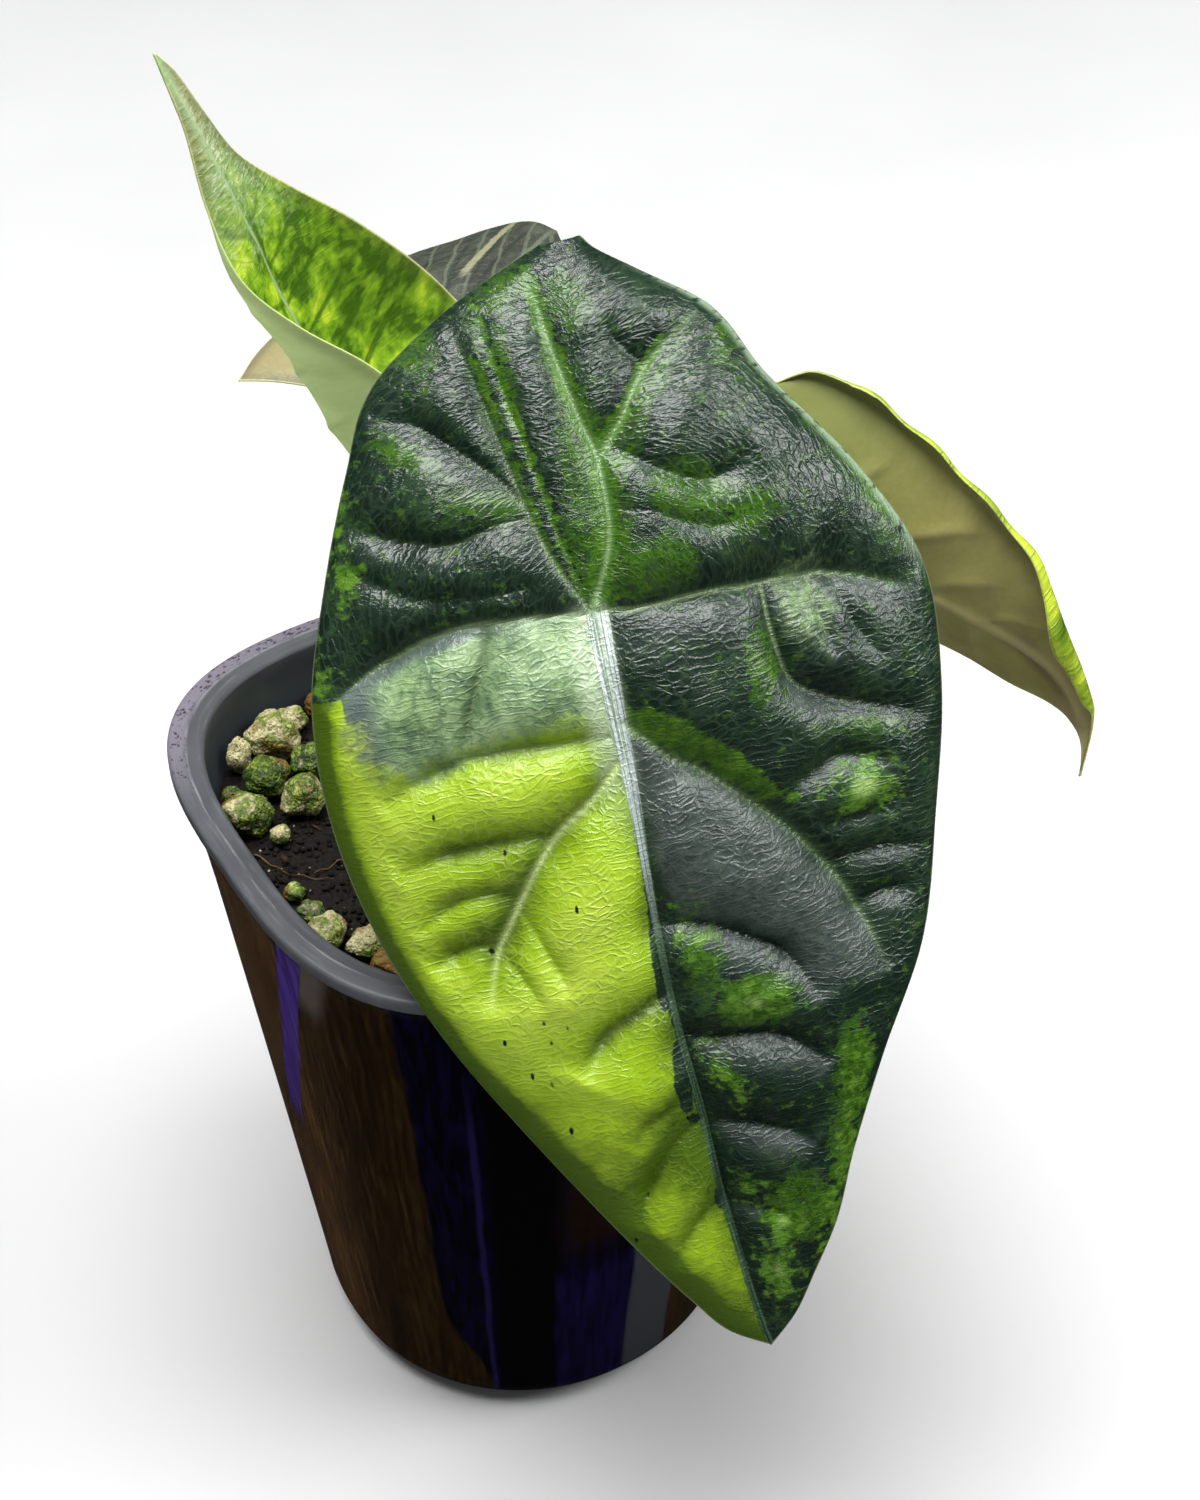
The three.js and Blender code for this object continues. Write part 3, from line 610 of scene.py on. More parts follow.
def from_route(u, v, route):
    """Distance of every chart point to a route, how far along it the nearest spot is, and on which
    side the point lies (1 towards the tip, -1 towards the hub)."""
    p = smooth_route(route, 5)
    best, share, side = np.full(u.shape, np.inf), np.zeros(u.shape), np.zeros(u.shape)
    for k, (a, b) in enumerate(zip(p, p[1:])):
        step = b - a
        t = np.clip(((u - a[0]) * step[0] + (v - a[1]) * step[1]) / (step @ step), 0, 1)
        off_u, off_v = u - a[0] - t * step[0], v - a[1] - t * step[1]
        distance = np.hypot(off_u, off_v)
        nearer = distance < best
        best = np.where(nearer, distance, best)
        share = np.where(nearer, (k + t) / (len(p) - 1), share)
        side = np.where(nearer, off_v / np.maximum(distance, 1e-6), side)
    return best, share, side


def inside(u, v, outline):
    """Signed distance to a closed outline in the chart, positive inside."""
    p = np.asarray(outline, float)
    best = np.full(u.shape, np.inf)
    odd = np.zeros(u.shape, bool)
    for a, b in zip(p, np.roll(p, -1, 0)):
        step = b - a
        t = np.clip(((u - a[0]) * step[0] + (v - a[1]) * step[1]) / (step @ step), 0, 1)
        best = np.minimum(best, np.hypot(u - a[0] - t * step[0], v - a[1] - t * step[1]))
        crosses = (a[1] > v) != (b[1] > v)
        slope = step[0] / (step[1] if step[1] else 1e-9)
        odd ^= crosses & (u < a[0] + slope * (v - a[1]))
    return np.where(odd, best, -best)


def patch(u, v, spot):
    """About the signed distance to an oval [across, along, half width, half length, turn]."""
    x, y, wide, long, degrees = spot
    c, s = math.cos(math.radians(degrees)), math.sin(math.radians(degrees))
    du, dv = u - x, v - y
    q = np.hypot((du * c + dv * s) / wide, (dv * c - du * s) / long)
    return (1 - q) * min(wide, long)


# The share of a vein's length over which it fades out at its end, and in mm how rounded its bottom
# is and how wide the vein and its pale line are
VEIN_END, VEIN_BOTTOM, VEIN_WIDTH, LINE_WIDTH = 0.3, 0.25, 0.7, 0.45


def vein_fields(name, u, v):
    """How puffed the blade is between its veins (0 in a vein, 1 off them), how near one is, and
    how pale its line is."""
    puff, near, pale = np.ones(u.shape), np.zeros(u.shape), np.zeros(u.shape)
    for depth, reach, paleness, route in VEINS[name]:
        distance, share, side = from_route(u, v, route)
        fade = np.clip((1 - share) / VEIN_END, 0, 1) ** 0.7
        spread = reach * (0.78 + 0.08 * side)
        away = np.hypot(distance, VEIN_BOTTOM) - VEIN_BOTTOM
        puff *= 1 - depth * fade * np.exp(-away / spread)
        strength = (0.35 + 0.65 * depth) * fade
        near = np.maximum(near, strength * np.exp(-(distance / VEIN_WIDTH) ** 2))
        pale = np.maximum(pale, paleness * fade * np.exp(-(distance / LINE_WIDTH) ** 2))
    return puff, near, pale


def along_growth(u, v, mid):
    """Coordinates that follow the tissue: out from the midrib, and along it or round the hub."""
    from_hub = np.hypot(u - mid, np.minimum(v, 0))
    round_hub = from_hub * np.arctan2(np.minimum(v, 0), np.abs(u - mid) + 1e-6)
    return np.stack([from_hub, np.where(v < 0, round_hub, v), 4 * np.tanh((u - mid) / 4)], -1)


def depth_below_fold(name, u, v):
    """How far towards the tip a point is from the front leaf's folds, or from another's hub."""
    fold = LEFT_FOLD[::-1] + RIGHT_FOLD if name == "front" else [(0, 0)]
    return v - np.interp(u, *np.array(fold, float).T)


# Sizes in mm of a blade's swells and fine creases, the swells' height as a share of the puffed
# fields', and the level of these fields that lies on the smooth blade
SWELL_SIZE, CREASE_SIZE, SWELL_SHARE, SMOOTH_LEVEL = 6.5, 1.5, 0.125, 0.6


def blade_lift(leaf, u, v, grain, puff, fade):
    """How far the upper side stands off the smooth blade: puffed fields, swells and creases."""
    flat = np.stack([u, v, 0 * u], -1).reshape(-1, 3)
    swell = wavy(flat, SWELL_SIZE, 3.1).reshape(u.shape)
    crinkle = wavy(grain.reshape(-1, 3) * (0.5, 1.0, 1), CREASE_SIZE, 7.7).reshape(u.shape)
    uneven = SWELL_SHARE * swell * leaf["puff"] + leaf["crinkle"] * crinkle
    return leaf["puff"] * fade * (puff - SMOOTH_LEVEL) + fade * uneven


# All in mm: a blade's thickness at its rim, how far in from the rim and from the blade's ends its
# shape fades, the midrib's height and half width underneath, and how far the rim bulges
RIM_THICKNESS, RIM_FADE, END_FADE = 0.3, 3.0, 7.0
MIDRIB_HEIGHT, MIDRIB_HALF_WIDTH, RIM_BULGE = 1.3, 1.3, 0.12


def blade_depth(leaf, from_mid, v, gap, near, fade):
    """Thickness of the blade, with its veins and midrib raised underneath."""
    strength = np.clip(1 - v / leaf["rows"][-1][0], 0.1, 1) * (v > -3)
    midrib = MIDRIB_HEIGHT * np.exp(-(from_mid / MIDRIB_HALF_WIDTH) ** 2) * fade * strength
    sheet = (leaf["thickness"] - RIM_THICKNESS) * (1 - np.exp(-gap / RIM_FADE))
    return RIM_THICKNESS + sheet + (leaf["rib"] * near * fade + midrib)


def grid_border(rows, columns):
    """Indices of the points round a grid's border, in order."""
    ring = ([(0, c) for c in range(columns)]
            + [(r, columns - 1) for r in range(1, rows)]
            + [(rows - 1, c) for c in range(columns - 2, -1, -1)]
            + [(r, 0) for r in range(rows - 2, 0, -1)])
    return [r * columns + c for r, c in ring]


def rim_points(top, low, normal, centre):
    """Points that round off the rim, halfway between its upper and lower edge."""
    middle = (top + low) / 2
    side = np.cross(np.roll(middle, -1, 0) - np.roll(middle, 1, 0), normal)
    side = side / np.maximum(np.linalg.norm(side, axis=1, keepdims=True), 1e-9)
    side *= np.sign((side * unit(top - centre)).sum(1, keepdims=True))
    return middle + side * RIM_BULGE


def blade_faces(rows, columns, border):
    """Faces of both sides and the rim, and which finish each one wears."""
    size = rows * columns
    faces = grid_faces(rows, columns, 0, flip=True) + grid_faces(rows, columns, size)
    kinds = [0] * (len(faces) // 2) + [1] * (len(faces) // 2)
    rim, count = 2 * size, len(border)
    for k in range(count):
        n = (k + 1) % count
        faces.append([border[k], border[n], rim + n, rim + k])
        faces.append([rim + k, rim + n, size + border[n], size + border[k]])
        kinds += [0, 1]
    return faces, kinds


def build_blade(name, materials, marks_of=None, trim=None):
    leaf = LEAVES[name]
    points, u, v, gap, mid = blade_grid(leaf)
    puff, near, pale = vein_fields(name, u, v)
    grain = along_growth(u, v, mid)
    fade = 1 - np.exp(-gap / RIM_FADE)
    fade *= 1 - np.exp(-np.minimum(v - v[0, 0], v[-1, 0] - v) / END_FADE)
    lift = blade_lift(leaf, u, v, grain, puff, fade)
    if trim:
        lift = lift + trim(u - mid, v, fade)
    slope = np.gradient(leaf["puff"] * fade * puff, axis=0) / np.gradient(v, axis=0)
    top = points + grid_normals(points) * lift[..., None]
    normal = grid_normals(top)
    low = top - normal * blade_depth(leaf, u - mid, v, gap, near, fade)[..., None]
    border = grid_border(*u.shape)
    centre = points.reshape(-1, 3).mean(0)
    top, low, normal = [side.reshape(-1, 3) for side in (top, low, normal)]
    rim = rim_points(top[border], low[border], normal[border], centre)
    faces, kinds = blade_faces(*u.shape, border)
    grids = {
        "chart": np.stack([u - mid, v, u], -1), "grain": grain, "vein": near, "pale": pale,
        "puff": puff * fade, "slope": slope, "margin": np.minimum(gap, 20),
        "below_fold": depth_below_fold(name, u, v),
    }
    grids.update(marks_of(u, v) if marks_of else {})
    marks = {}
    for key, grid in grids.items():
        flat = grid.reshape(u.size, -1)
        stack = np.vstack([flat, flat, flat[border]])
        marks[key] = stack if stack.shape[1] == 3 else stack[:, 0]
    return make_piece(f"{name}_leaf", np.vstack([top, low, rim]), faces, materials,
                      [f"{name}_leaf_blade"], kinds, marks, merge=0.002)


# Colour areas of the front leaf, as outlines and ovals in its chart

LIME_SECTOR = [(-0.8, 13), (-1, 20), (-1.5, 30), (-2.3, 40), (-3.2, 46), (-2.9, 56),
               (-2.4, 61), (-2.1, 72), (-1.7, 82), (-1.3, 90), (-1, 100), (-0.4, 109), (0.6, 116),
               (-30, 116), (-60, 60), (-60, 4), (-36, 4.4), (-35, 9), (-33.5, 14), (-29, 16.5),
               (-21.7, 15), (-15, 13.6), (-10, 13.4), (-3.6, 13.2)]
GLOW_SPOTS = [(3.8, 99.5, 2.8, 5.5, 0), (-31, -20, 1.4, 5, 20), (-30.6, -11.5, 1.4, 4, 25),
              (-37.5, 1.5, 1.2, 3.4, 15), (30, 32, 5, 3.8, 10), (2.6, 86, 1.4, 2.8, -10),
              (2.8, 67, 2, 4, -20), (9, 57, 4.5, 3, 20), (20.5, 72, 2, 6, 10),
              (17.5, 83, 1.4, 5, 10), (3, 45, 2, 4, 0), (6, 92, 3, 3, 0), (13, 92, 1.6, 5, 15)]
DARK_SPOTS = [(-3.1, 67, 1.3, 5, 4), (-2.9, 73.6, 0.7, 0.9, 0), (-1.9, 87, 0.8, 2.2, 0),
              (-2.9, 51.5, 0.8, 5.2, 3)]
GREEN_BLOCK = [(-34.5, 5), (-30, 1), (-22, -1.5), (-12, -1.5), (0, 0), (0, 13), (-10, 14.5),
               (-21, 16.5), (-29, 18), (-34, 16)]
GREEN_POOL = [(0, 12), (5, 14), (10, 17), (13, 21), (17, 26), (21, 31), (16, 30), (10, 24), (5, 20),
              (1, 17)]
# The panel right of the midrib that carries painted grey sheen
SHEEN_PANEL = [(0.6, 16), (9, 25), (17, 33), (23, 41), (26, 50), (27, 58), (18, 58), (14, 50),
               (8, 46.5), (1.7, 43.5), (0, 40)]
PALE_SPOTS = [(27.4, 5.5, 2.6, 5, 0), (-24.5, 6.5, 4, 3.6, 0), (30, 4, 1.2, 4, 0)]
GREEN_FAN = [(-1, -1), (-2.2, -8), (-0.6, -16), (1.4, -28), (1, -40), (3, -44), (4.4, -36),
             (6, -26), (9, -24), (14, -29), (21, -34), (20, -31), (14, -25), (9, -17), (7.4, -8),
             (12, -9), (15, -5), (14, -1.5), (2, -0.5)]
GREEN_SPOTS = [(-4, -34, 1.1, 10, 8), (-7.4, -34, 0.9, 8, 8),
               (-11, -17.5, 6, 2.2, 10), (-20, -26, 5, 2, 35), (9, 57, 6, 4.5, 20),
               (20, 72, 3.2, 9, 10), (16, 84, 2.4, 8, 10), (9, 90, 5, 6, 0), (3, 50, 2.5, 6, 0),
               (16, -13, 6, 4, 20), (22, -9, 5, 3, 0), (40, -5, 1.6, 9, -18), (34, -18, 1.2, 8, -30),
               (-2, -43, 4, 2.2, -20), (6, -40, 3, 4, 0), (25, -30, 2, 4, 30),
               (20, 12, 3, 6, 0), (33, 24, 5, 1.4, 20), (-15, -38, 3, 3, 0)]

# Bright green stripes of the upper lobe, as (half width, route)
GREEN_STRIPES = [
    (1.6, [(0.6, -2), (3.6, -9), (5, -16), (5.2, -21)]),
    (1.0, [(5.2, -20), (4, -26), (3, -32), (2.1, -40), (1.8, -45)]),
    (0.9, [(5.2, -21), (7.5, -22.8), (10, -25.4), (13.3, -29.4), (17, -32.2)]),
    (0.5, [(-1, -4), (-2.4, -12), (-3.2, -20), (-4.4, -28), (-5.4, -36), (-5.8, -42)]),
    (0.45, [(-3.2, -7), (-5.2, -16.7), (-6.2, -23), (-7.2, -30), (-8, -36)]),
]


def front_marks(u, v):
    """How far inside each colour area a point is."""
    def ovals(spots):
        return np.maximum.reduce([patch(u, v, spot) for spot in spots])

    stripe = np.maximum.reduce([half - from_route(u, v, route)[0] for half, route in GREEN_STRIPES])
    return {"lime": np.minimum(inside(u, v, LIME_SECTOR), -ovals(DARK_SPOTS)),
            "green": np.maximum(inside(u, v, GREEN_FAN), ovals(GREEN_SPOTS)),
            "glow": ovals(GLOW_SPOTS), "pale_spot": ovals(PALE_SPOTS), "stripe": stripe,
            "block": inside(u, v, GREEN_BLOCK), "pool": inside(u, v, GREEN_POOL),
            "slate": inside(u, v, SHEEN_PANEL)}


CORD_HEIGHT, CORD_WIDTH, CORD_LENGTH = 0.5, 0.7, 60


def front_trim(from_mid, v, fade):
    """The midrib's raised cord inside its channel, strongest near the hub."""
    strength = np.clip(1 - v / CORD_LENGTH, 0.15, 1) * (v > -2)
    return CORD_HEIGHT * strength * np.exp(-(from_mid / CORD_WIDTH) ** 2) * fade


# Leaf finishes

class BladeFinish(Finish):
    """A finish laid out in its blade's chart."""

    def __init__(self, name, **constants):
        super().__init__(name, **constants)
        self.from_mid, self.along, self.across = self.parts(self.mark("chart", "Vector"))
        self.chart = self.vector(self.across, self.along)
        self.margin = self.mark("margin")

    def area(self, name, low, high, **wander):
        """1 inside a marked outline and 0 outside. Its border is from low to high mm inside the
        outline, and each noise named in wander pushes it about by that many mm."""
        depth = self.mark(name)
        for noise_name, reach in wander.items():
            depth = depth + (getattr(self, noise_name) - 0.5) * reach
        return depth.rise(low, high)

    def mottled(self, high, dark, light):
        return self.blend(self.mottle.rise(0.4, high), dark, light)


def veinlet_net(finish, grain, size, amount):
    """Height in mm of the raised veinlets, a leathery mesh of long cells with stretches of long
    wavy lines, and where they run."""
    slow = finish.warp(grain, 7.0, 1.6)
    bent = finish.warp(slow, 1.4, 0.3)
    run = finish.parts(bent)[1]
    wave = finish.math_node("PINGPONG", run, size / 2) * (2 / size)
    patches = finish.cloud(finish.shift(slow, (5.0, 2.0, 8.0)), 5.0, 1.0)
    long_lines = wave.fall(0.0, 0.5) * patches.rise(0.44, 0.6)
    mesh = finish.net(finish.stretch(bent, (0.5, 1.0, 1.0)), size * 0.95, 0.22)
    fine = finish.net(finish.shift(bent, (31.0, 17.0, 0.0)), size * 0.55, 0.1)
    swell = finish.cloud(bent, size * 2.5, 2.0)
    lines = long_lines.most(mesh * (0.4 + 0.9 * patches.fall(0.35, 0.65)))
    return amount * (lines + 0.25 * fine + 1.5 * swell), lines


def net_relief(finish, size, amount):
    """Veinlets run out from the midrib on the blade, and round the hub on the lobes above it."""
    grain = finish.mark("grain", "Vector")
    radial, around, side = finish.parts(grain)
    turned = finish.vector(around, radial, side)
    on_blade = finish.math_node("GREATER_THAN", finish.mark("below_fold"), 0)
    grain = finish.node("Mix", {"data_type": "VECTOR"}, {0: on_blade, 4: turned, 5: grain}, 1)
    return veinlet_net(finish, grain, size, amount)


def dark_and_green(f, green):
    """Dark green with freckles of green, and green with freckles of dark."""
    dark_tone = f.tint(f.broad * 0.6 + f.mottle * 0.4, [
        (0.3, (0.003, 0.009, 0.006)), (0.5, (0.006, 0.017, 0.009)), (0.62, (0.014, 0.034, 0.012))])
    green_tone = f.tint(f.mottle, [
        (0.35, (0.012, 0.045, 0.001)), (0.5, (0.03, 0.085, 0.002)), (0.65, (0.065, 0.15, 0.006))])
    speckle = (f.mottle + (f.ragged - 0.5) * 0.7).rise(0.62, 0.68) * 0.4
    leopard = (f.mottle * 0.6 + f.ragged * 0.4).rise(0.5, 0.53)
    return f.blend(green, f.blend(speckle, dark_tone, green_tone),
                   f.blend(leopard * 0.8, green_tone, dark_tone))


def with_painted_sheen(f, shade, green):
    """Painted grey sheen on slopes that rise towards the tip, and over the slate panel."""
    panel = f.area("slate", -0.8, 1.6, broad=5) * (0.4 + 0.5 * f.mottle.rise(0.3, 0.7))
    slope_sheen = f.slope.rise(0.05, 0.6) * (0.35 + 0.4 * f.broad.rise(0.35, 0.65)) * f.along.rise(0, 6)
    return f.blend(slope_sheen.most(panel) * (1 - green), shade, (0.05, 0.062, 0.058))


def with_block(f, shade):
    """The pale block left of the midrib, its own grey-green with painted sheen over it, and painted slate
    sheen under the fold and at its outer corner.
    """
    below_fold = f.mark("below_fold")
    block = f.area("block", -4.5, -3.5) * below_fold.rise(-0.2, 0.5) * f.from_mid.fall(-0.6, 0.0)
    tone = f.tint(f.mottle * 0.45 + f.broad * 0.55, [
        (0.36, (0.05, 0.09, 0.045)), (0.47, (0.12, 0.195, 0.09)), (0.6, (0.24, 0.34, 0.17))])
    # Painted grey-blue sheen along the fold and at the block's outer corner
    slate = (below_fold + (f.broad - 0.5) * 3).fall(1.0, 3.0) * f.across.fall(-20, -8)
    corner = f.across.fall(-33.5, -29) * (f.along + (f.broad - 0.5) * 8).fall(11, 17)
    return f.blend(block, shade, f.blend(slate.most(corner) * 0.85, tone, (0.055, 0.07, 0.08)))


def with_green_marks(f, shade):
    """Stripes on the upper lobe, glowing spots with pale hearts, and pale spots."""
    stripe = f.area("stripe", -0.25, 0.25, mottle=2.6, ragged=1.5)
    shade = f.blend(stripe * 0.9, shade, f.mottled(0.65, (0.025, 0.08, 0.0015), (0.055, 0.14, 0.005)))
    glow_tone = f.blend(f.mark("glow").rise(1.6, 3.4) * 0.8,
                        f.mottled(0.6, (0.022, 0.07, 0.001), (0.07, 0.16, 0.01)), (0.22, 0.33, 0.09))
    shade = f.blend(f.area("glow", -0.8, 1.4, ragged=9, mottle=6), shade, glow_tone)
    return f.blend(f.area("pale_spot", -1.5, 1.5, mottle=4) * 0.6, shade,
                   f.mottled(0.62, (0.07, 0.12, 0.05), (0.2, 0.3, 0.12)))


def lime_tone(f):
    """Lime with painted shade: it deepens in the hollows, on slopes that fall towards the tip, down the
    blade and along its left margin, and is lighter on the puffs.
    """
    away = 0.42 * f.along.rise(44, 80) + 0.85 * f.margin.fall(0.5, 6.5) * f.across.fall(-10, 0)
    away = away - 0.12 * f.across.rise(-24, -12) - 0.16 * f.along.rise(80, 92) + 0.06
    light = f.mark("puff") * 0.75 + f.slope * 0.2 - away
    return f.tint(light + (f.broad - 0.5) * 0.4 + (f.mottle - 0.5) * 0.4, [
        (0.0, (0.045, 0.09, 0.0003)), (0.4, (0.2, 0.32, 0.0012)), (0.85, (0.35, 0.46, 0.037))])


def with_midrib(f, shade):
    """The midrib, broad and silvery near the hub, thin and dark near the tip, in a pale halo."""
    half_width = 0.6 + 1.35 * f.along.fall(-4, 44)
    rib = (abs(f.from_mid) / half_width).fall(0.6, 1.0) * f.along.rise(-1.5, 1)
    streak = f.cloud(f.stretch(f.mark("chart", "Vector"), (3.4, 0.05, 0)), 1.0, 2.0)
    tone = f.tint(f.along / 80 + 0.1, [
        (0.1, (0.62, 0.7, 0.66)), (0.3, (0.5, 0.55, 0.56)), (0.52, (0.3, 0.35, 0.35)),
        (0.68, (0.07, 0.11, 0.07)), (0.95, (0.02, 0.04, 0.02))])
    tone = f.blend(streak.rise(0.48, 0.56) * 0.75, tone, (0.06, 0.12, 0.06))
    halo = abs(f.from_mid + 1.6).fall(0.8, 4.0) * f.along.rise(-2.5, 1) * f.along.fall(6, 34)
    shade = f.blend(halo * (0.35 + 0.5 * f.ragged.rise(0.3, 0.6)), shade, (0.46, 0.56, 0.38))
    return f.blend(rib * 0.9, shade, tone)


def with_veins(f, shade, lime, veinlets):
    """Faint veinlets, painted shade in the creases along the veins, the midrib, and pale lines on some
    veins.
    """
    vein, pale = f.mark("vein"), f.mark("pale")
    shown = (0.25 + 0.75 * f.along.fall(48, 70)) * (1 - 0.9 * lime * f.margin.fall(2, 9))
    shade = f.blend(veinlets * (0.13 - 0.05 * lime) * shown, shade,
                    f.blend(lime, (0.07, 0.12, 0.07), (0.5, 0.62, 0.2)))
    # Painted shade in the creases along the veins
    shade = f.blend(vein.rise(0.5, 0.9) * (1 - pale) * 0.55, shade,
                    f.blend(lime, (0.003, 0.008, 0.004), (0.06, 0.12, 0.001)))
    shade = with_midrib(f, shade)
    near_hub = f.along.fall(4, 46) * f.along.rise(-30, 2)
    shade = f.blend(vein.rise(0.5, 0.95) * 0.35 * near_hub, shade, (0.3, 0.42, 0.2))
    return f.blend(pale, shade, f.blend(lime, (0.13, 0.22, 0.08), (0.5, 0.62, 0.22)))


# Spacing of the dark specks and depth of the grooves along the veins, in mm
SPECK_SPACING, VEIN_GROOVE = 2.7, 0.35


def with_specks(f, shade, lime):
    """Small dark specks on the lime, closer together towards the tip."""
    place = f.warp(f.stretch(f.chart, (1.0, 0.55, 1.0)), 2.0, 0.4)
    chosen = (f.lot(place, SPECK_SPACING) + 0.2 * f.along.rise(20, 70)).rise(0.68, 0.7)
    speck = f.cells(place, SPECK_SPACING).fall(0.07, 0.13) * chosen * lime * f.along.rise(12, 16)
    return f.blend(speck, shade, (0.003, 0.006, 0.003))


def front_leaf_top():
    f = BladeFinish("front leaf, upper side", Specular_IOR_Level=0.45)
    f.ragged = f.cloud(f.stretch(f.mark("grain", "Vector"), (0.7, 1.1, 1)), 2.2, 4.0, 0.62)
    f.broad = f.cloud(f.chart, 7.0, 3.0, 0.6)
    f.mottle = f.cloud(f.shift(f.chart, (9.0, 4.0, 2.0)), 1.5, 4.0, 0.7)
    f.slope = f.mark("slope")
    height, veinlets = net_relief(f, 1.05, 0.08)
    green = f.area("green", -0.45, 0.4, ragged=9, mottle=5)
    shade = with_painted_sheen(f, dark_and_green(f, green), green)
    shade = f.blend(f.area("pool", -0.4, 0.6, ragged=5, mottle=3), shade,
                    f.mottled(0.65, (0.022, 0.07, 0.0005), (0.05, 0.12, 0.002)))
    shade = with_green_marks(f, with_block(f, shade))
    torn_here = f.along.rise(5, 9) * f.along.fall(17, 20) * f.across.fall(-3, 0)
    lime = f.node("Mix", None, {0: torn_here, 2: f.area("lime", -0.12, 0.12, ragged=1.6),
                                3: f.area("lime", -2.6, 2.6, mottle=6, ragged=7)})
    shade = f.blend(lime, shade, lime_tone(f))
    shade = with_veins(f, shade, lime, veinlets)
    # Painted sheen along the right margin of the upper lobe, where the margin turns up
    frost_and_sheen = f.margin.fall(0.4, 2.8) * f.across.rise(12, 24) * f.along.fall(-2, 8)
    shade = f.blend(frost_and_sheen * f.ragged.rise(0.32, 0.5) * 0.75, shade, (0.28, 0.38, 0.25))
    shade = with_specks(f, shade, lime)
    # A painted highlight along the margin
    shade = f.blend(f.margin.fall(0.1, 0.5) * 0.6, shade, (0.2, 0.26, 0.14))
    wax = (0.26 + 0.1 * f.broad + 0.03 * lime - 0.06 * f.along.fall(-8, 0)) * (1 - 0.1 * green)
    calm = (0.3 * f.along.rise(44, 66)).most(0.6 * f.margin.fall(2, 8))
    calm = (lime * calm).most(0.3 * green)
    vein = f.mark("vein")
    return f.wear(Base_Color=shade, Roughness=wax,
                  Normal=f.relief(height * (1 - calm) + vein * vein * -VEIN_GROOVE))


def blade_top(name, tones, look, accents=None, gloss=0.4, net_size=1.8, net_height=0.1):
    """Upper side of a smaller leaf: clouded colour, a fine net and a pale midrib. look holds the midrib's
    half widths, colour and end, how much painted shade darkens the half left of the midrib, and the rim's
    colour."""
    f = BladeFinish(name, Specular_IOR_Level=0.35)
    height, veinlets = net_relief(f, net_size, net_height)
    cloud = f.cloud(f.stretch(f.chart, (1.5, 0.75, 1.0)), 6.5, 3.0, 0.6, 0.4)
    f.fine = f.cloud(f.stretch(f.shift(f.chart, (3.0, 8.0, 5.0)), (1.4, 0.7, 1.0)), 1.3, 3.0, 0.6)
    # Painted shade darkens the half left of the midrib
    shaded_left_half = f.from_mid.fall(-0.6, 0.4)
    shade = f.tint(cloud * 0.75 + f.fine * 0.25 - shaded_left_half * look["shaded left half"], tones)
    shade = f.blend(veinlets * 0.04, shade, (0.3, 0.42, 0.08))
    # Painted shade in the grooves of the sunken veins
    shade = f.blend(f.mark("vein").rise(0.25, 0.7) * 0.85, shade, tones[0][1])
    if accents:
        shade = accents(f, shade)
    shade = f.blend(f.margin.fall(0.4, 2.4) * (0.3 + f.fine) * 0.6, shade, look["rim"])
    line = abs(f.from_mid).fall(*look["rib width"]) * f.along.fall(look["rib end"], look["rib end"] + 4)
    shade = f.blend(line * 0.9, shade, look["rib"])
    shade = f.blend(f.margin.fall(0.05, 0.26) * 0.8, shade, (0.45, 0.46, 0.22))
    return f.wear(Base_Color=shade, Roughness=gloss + 0.12 * (cloud - 0.5), Normal=f.relief(height))


def blade_under(name, tones, rib_colour, accents=None):
    """Underside: matt, paler, with raised veins and a faint fine texture."""
    f = BladeFinish(name, Specular_IOR_Level=0.4)
    cloud = f.cloud(f.chart, 8.0, 4.0, 0.6, 0.3)
    f.fine = f.cloud(f.shift(f.chart, (5.0, 2.0, 7.0)), 0.8, 3.0, 0.6)
    shade = f.tint(cloud * 0.8 + f.fine * 0.2, tones)
    if accents:
        shade = accents(f, shade)
    shade = f.blend(f.mark("vein").rise(0.25, 0.9) * 0.5, shade, rib_colour)
    shade = f.blend(abs(f.from_mid).fall(0.6, 1.8) * f.along.rise(-2, 1) * 0.6, shade, rib_colour)
    return f.wear(Base_Color=shade, Roughness=0.5 + 0.1 * (cloud - 0.5),
                  Normal=f.relief(0.07 * f.fine))


def frosted_tip(f, shade):
    """The left leaf's tip: grey-green frosting with light and dark grit that thins out down the blade."""
    frost_and_sheen = (f.along + (f.fine - 0.5) * 26).rise(44, 66)
    tone = f.blend(f.along.rise(60, 80), (0.22, 0.32, 0.15), (0.5, 0.47, 0.28))
    shade = f.blend(frost_and_sheen * 0.85, shade, tone)
    grit = f.cloud(f.stretch(f.shift(f.chart, (1.0, 6.0, 2.0)), (0.6, 1.0, 1.0)), 0.45, 3.0, 0.7)
    shade = f.blend(frost_and_sheen * grit.rise(0.52, 0.64) * 0.7, shade, (0.62, 0.64, 0.46))
    return f.blend(frost_and_sheen * grit.fall(0.36, 0.46) * 0.7, shade, (0.12, 0.12, 0.03))


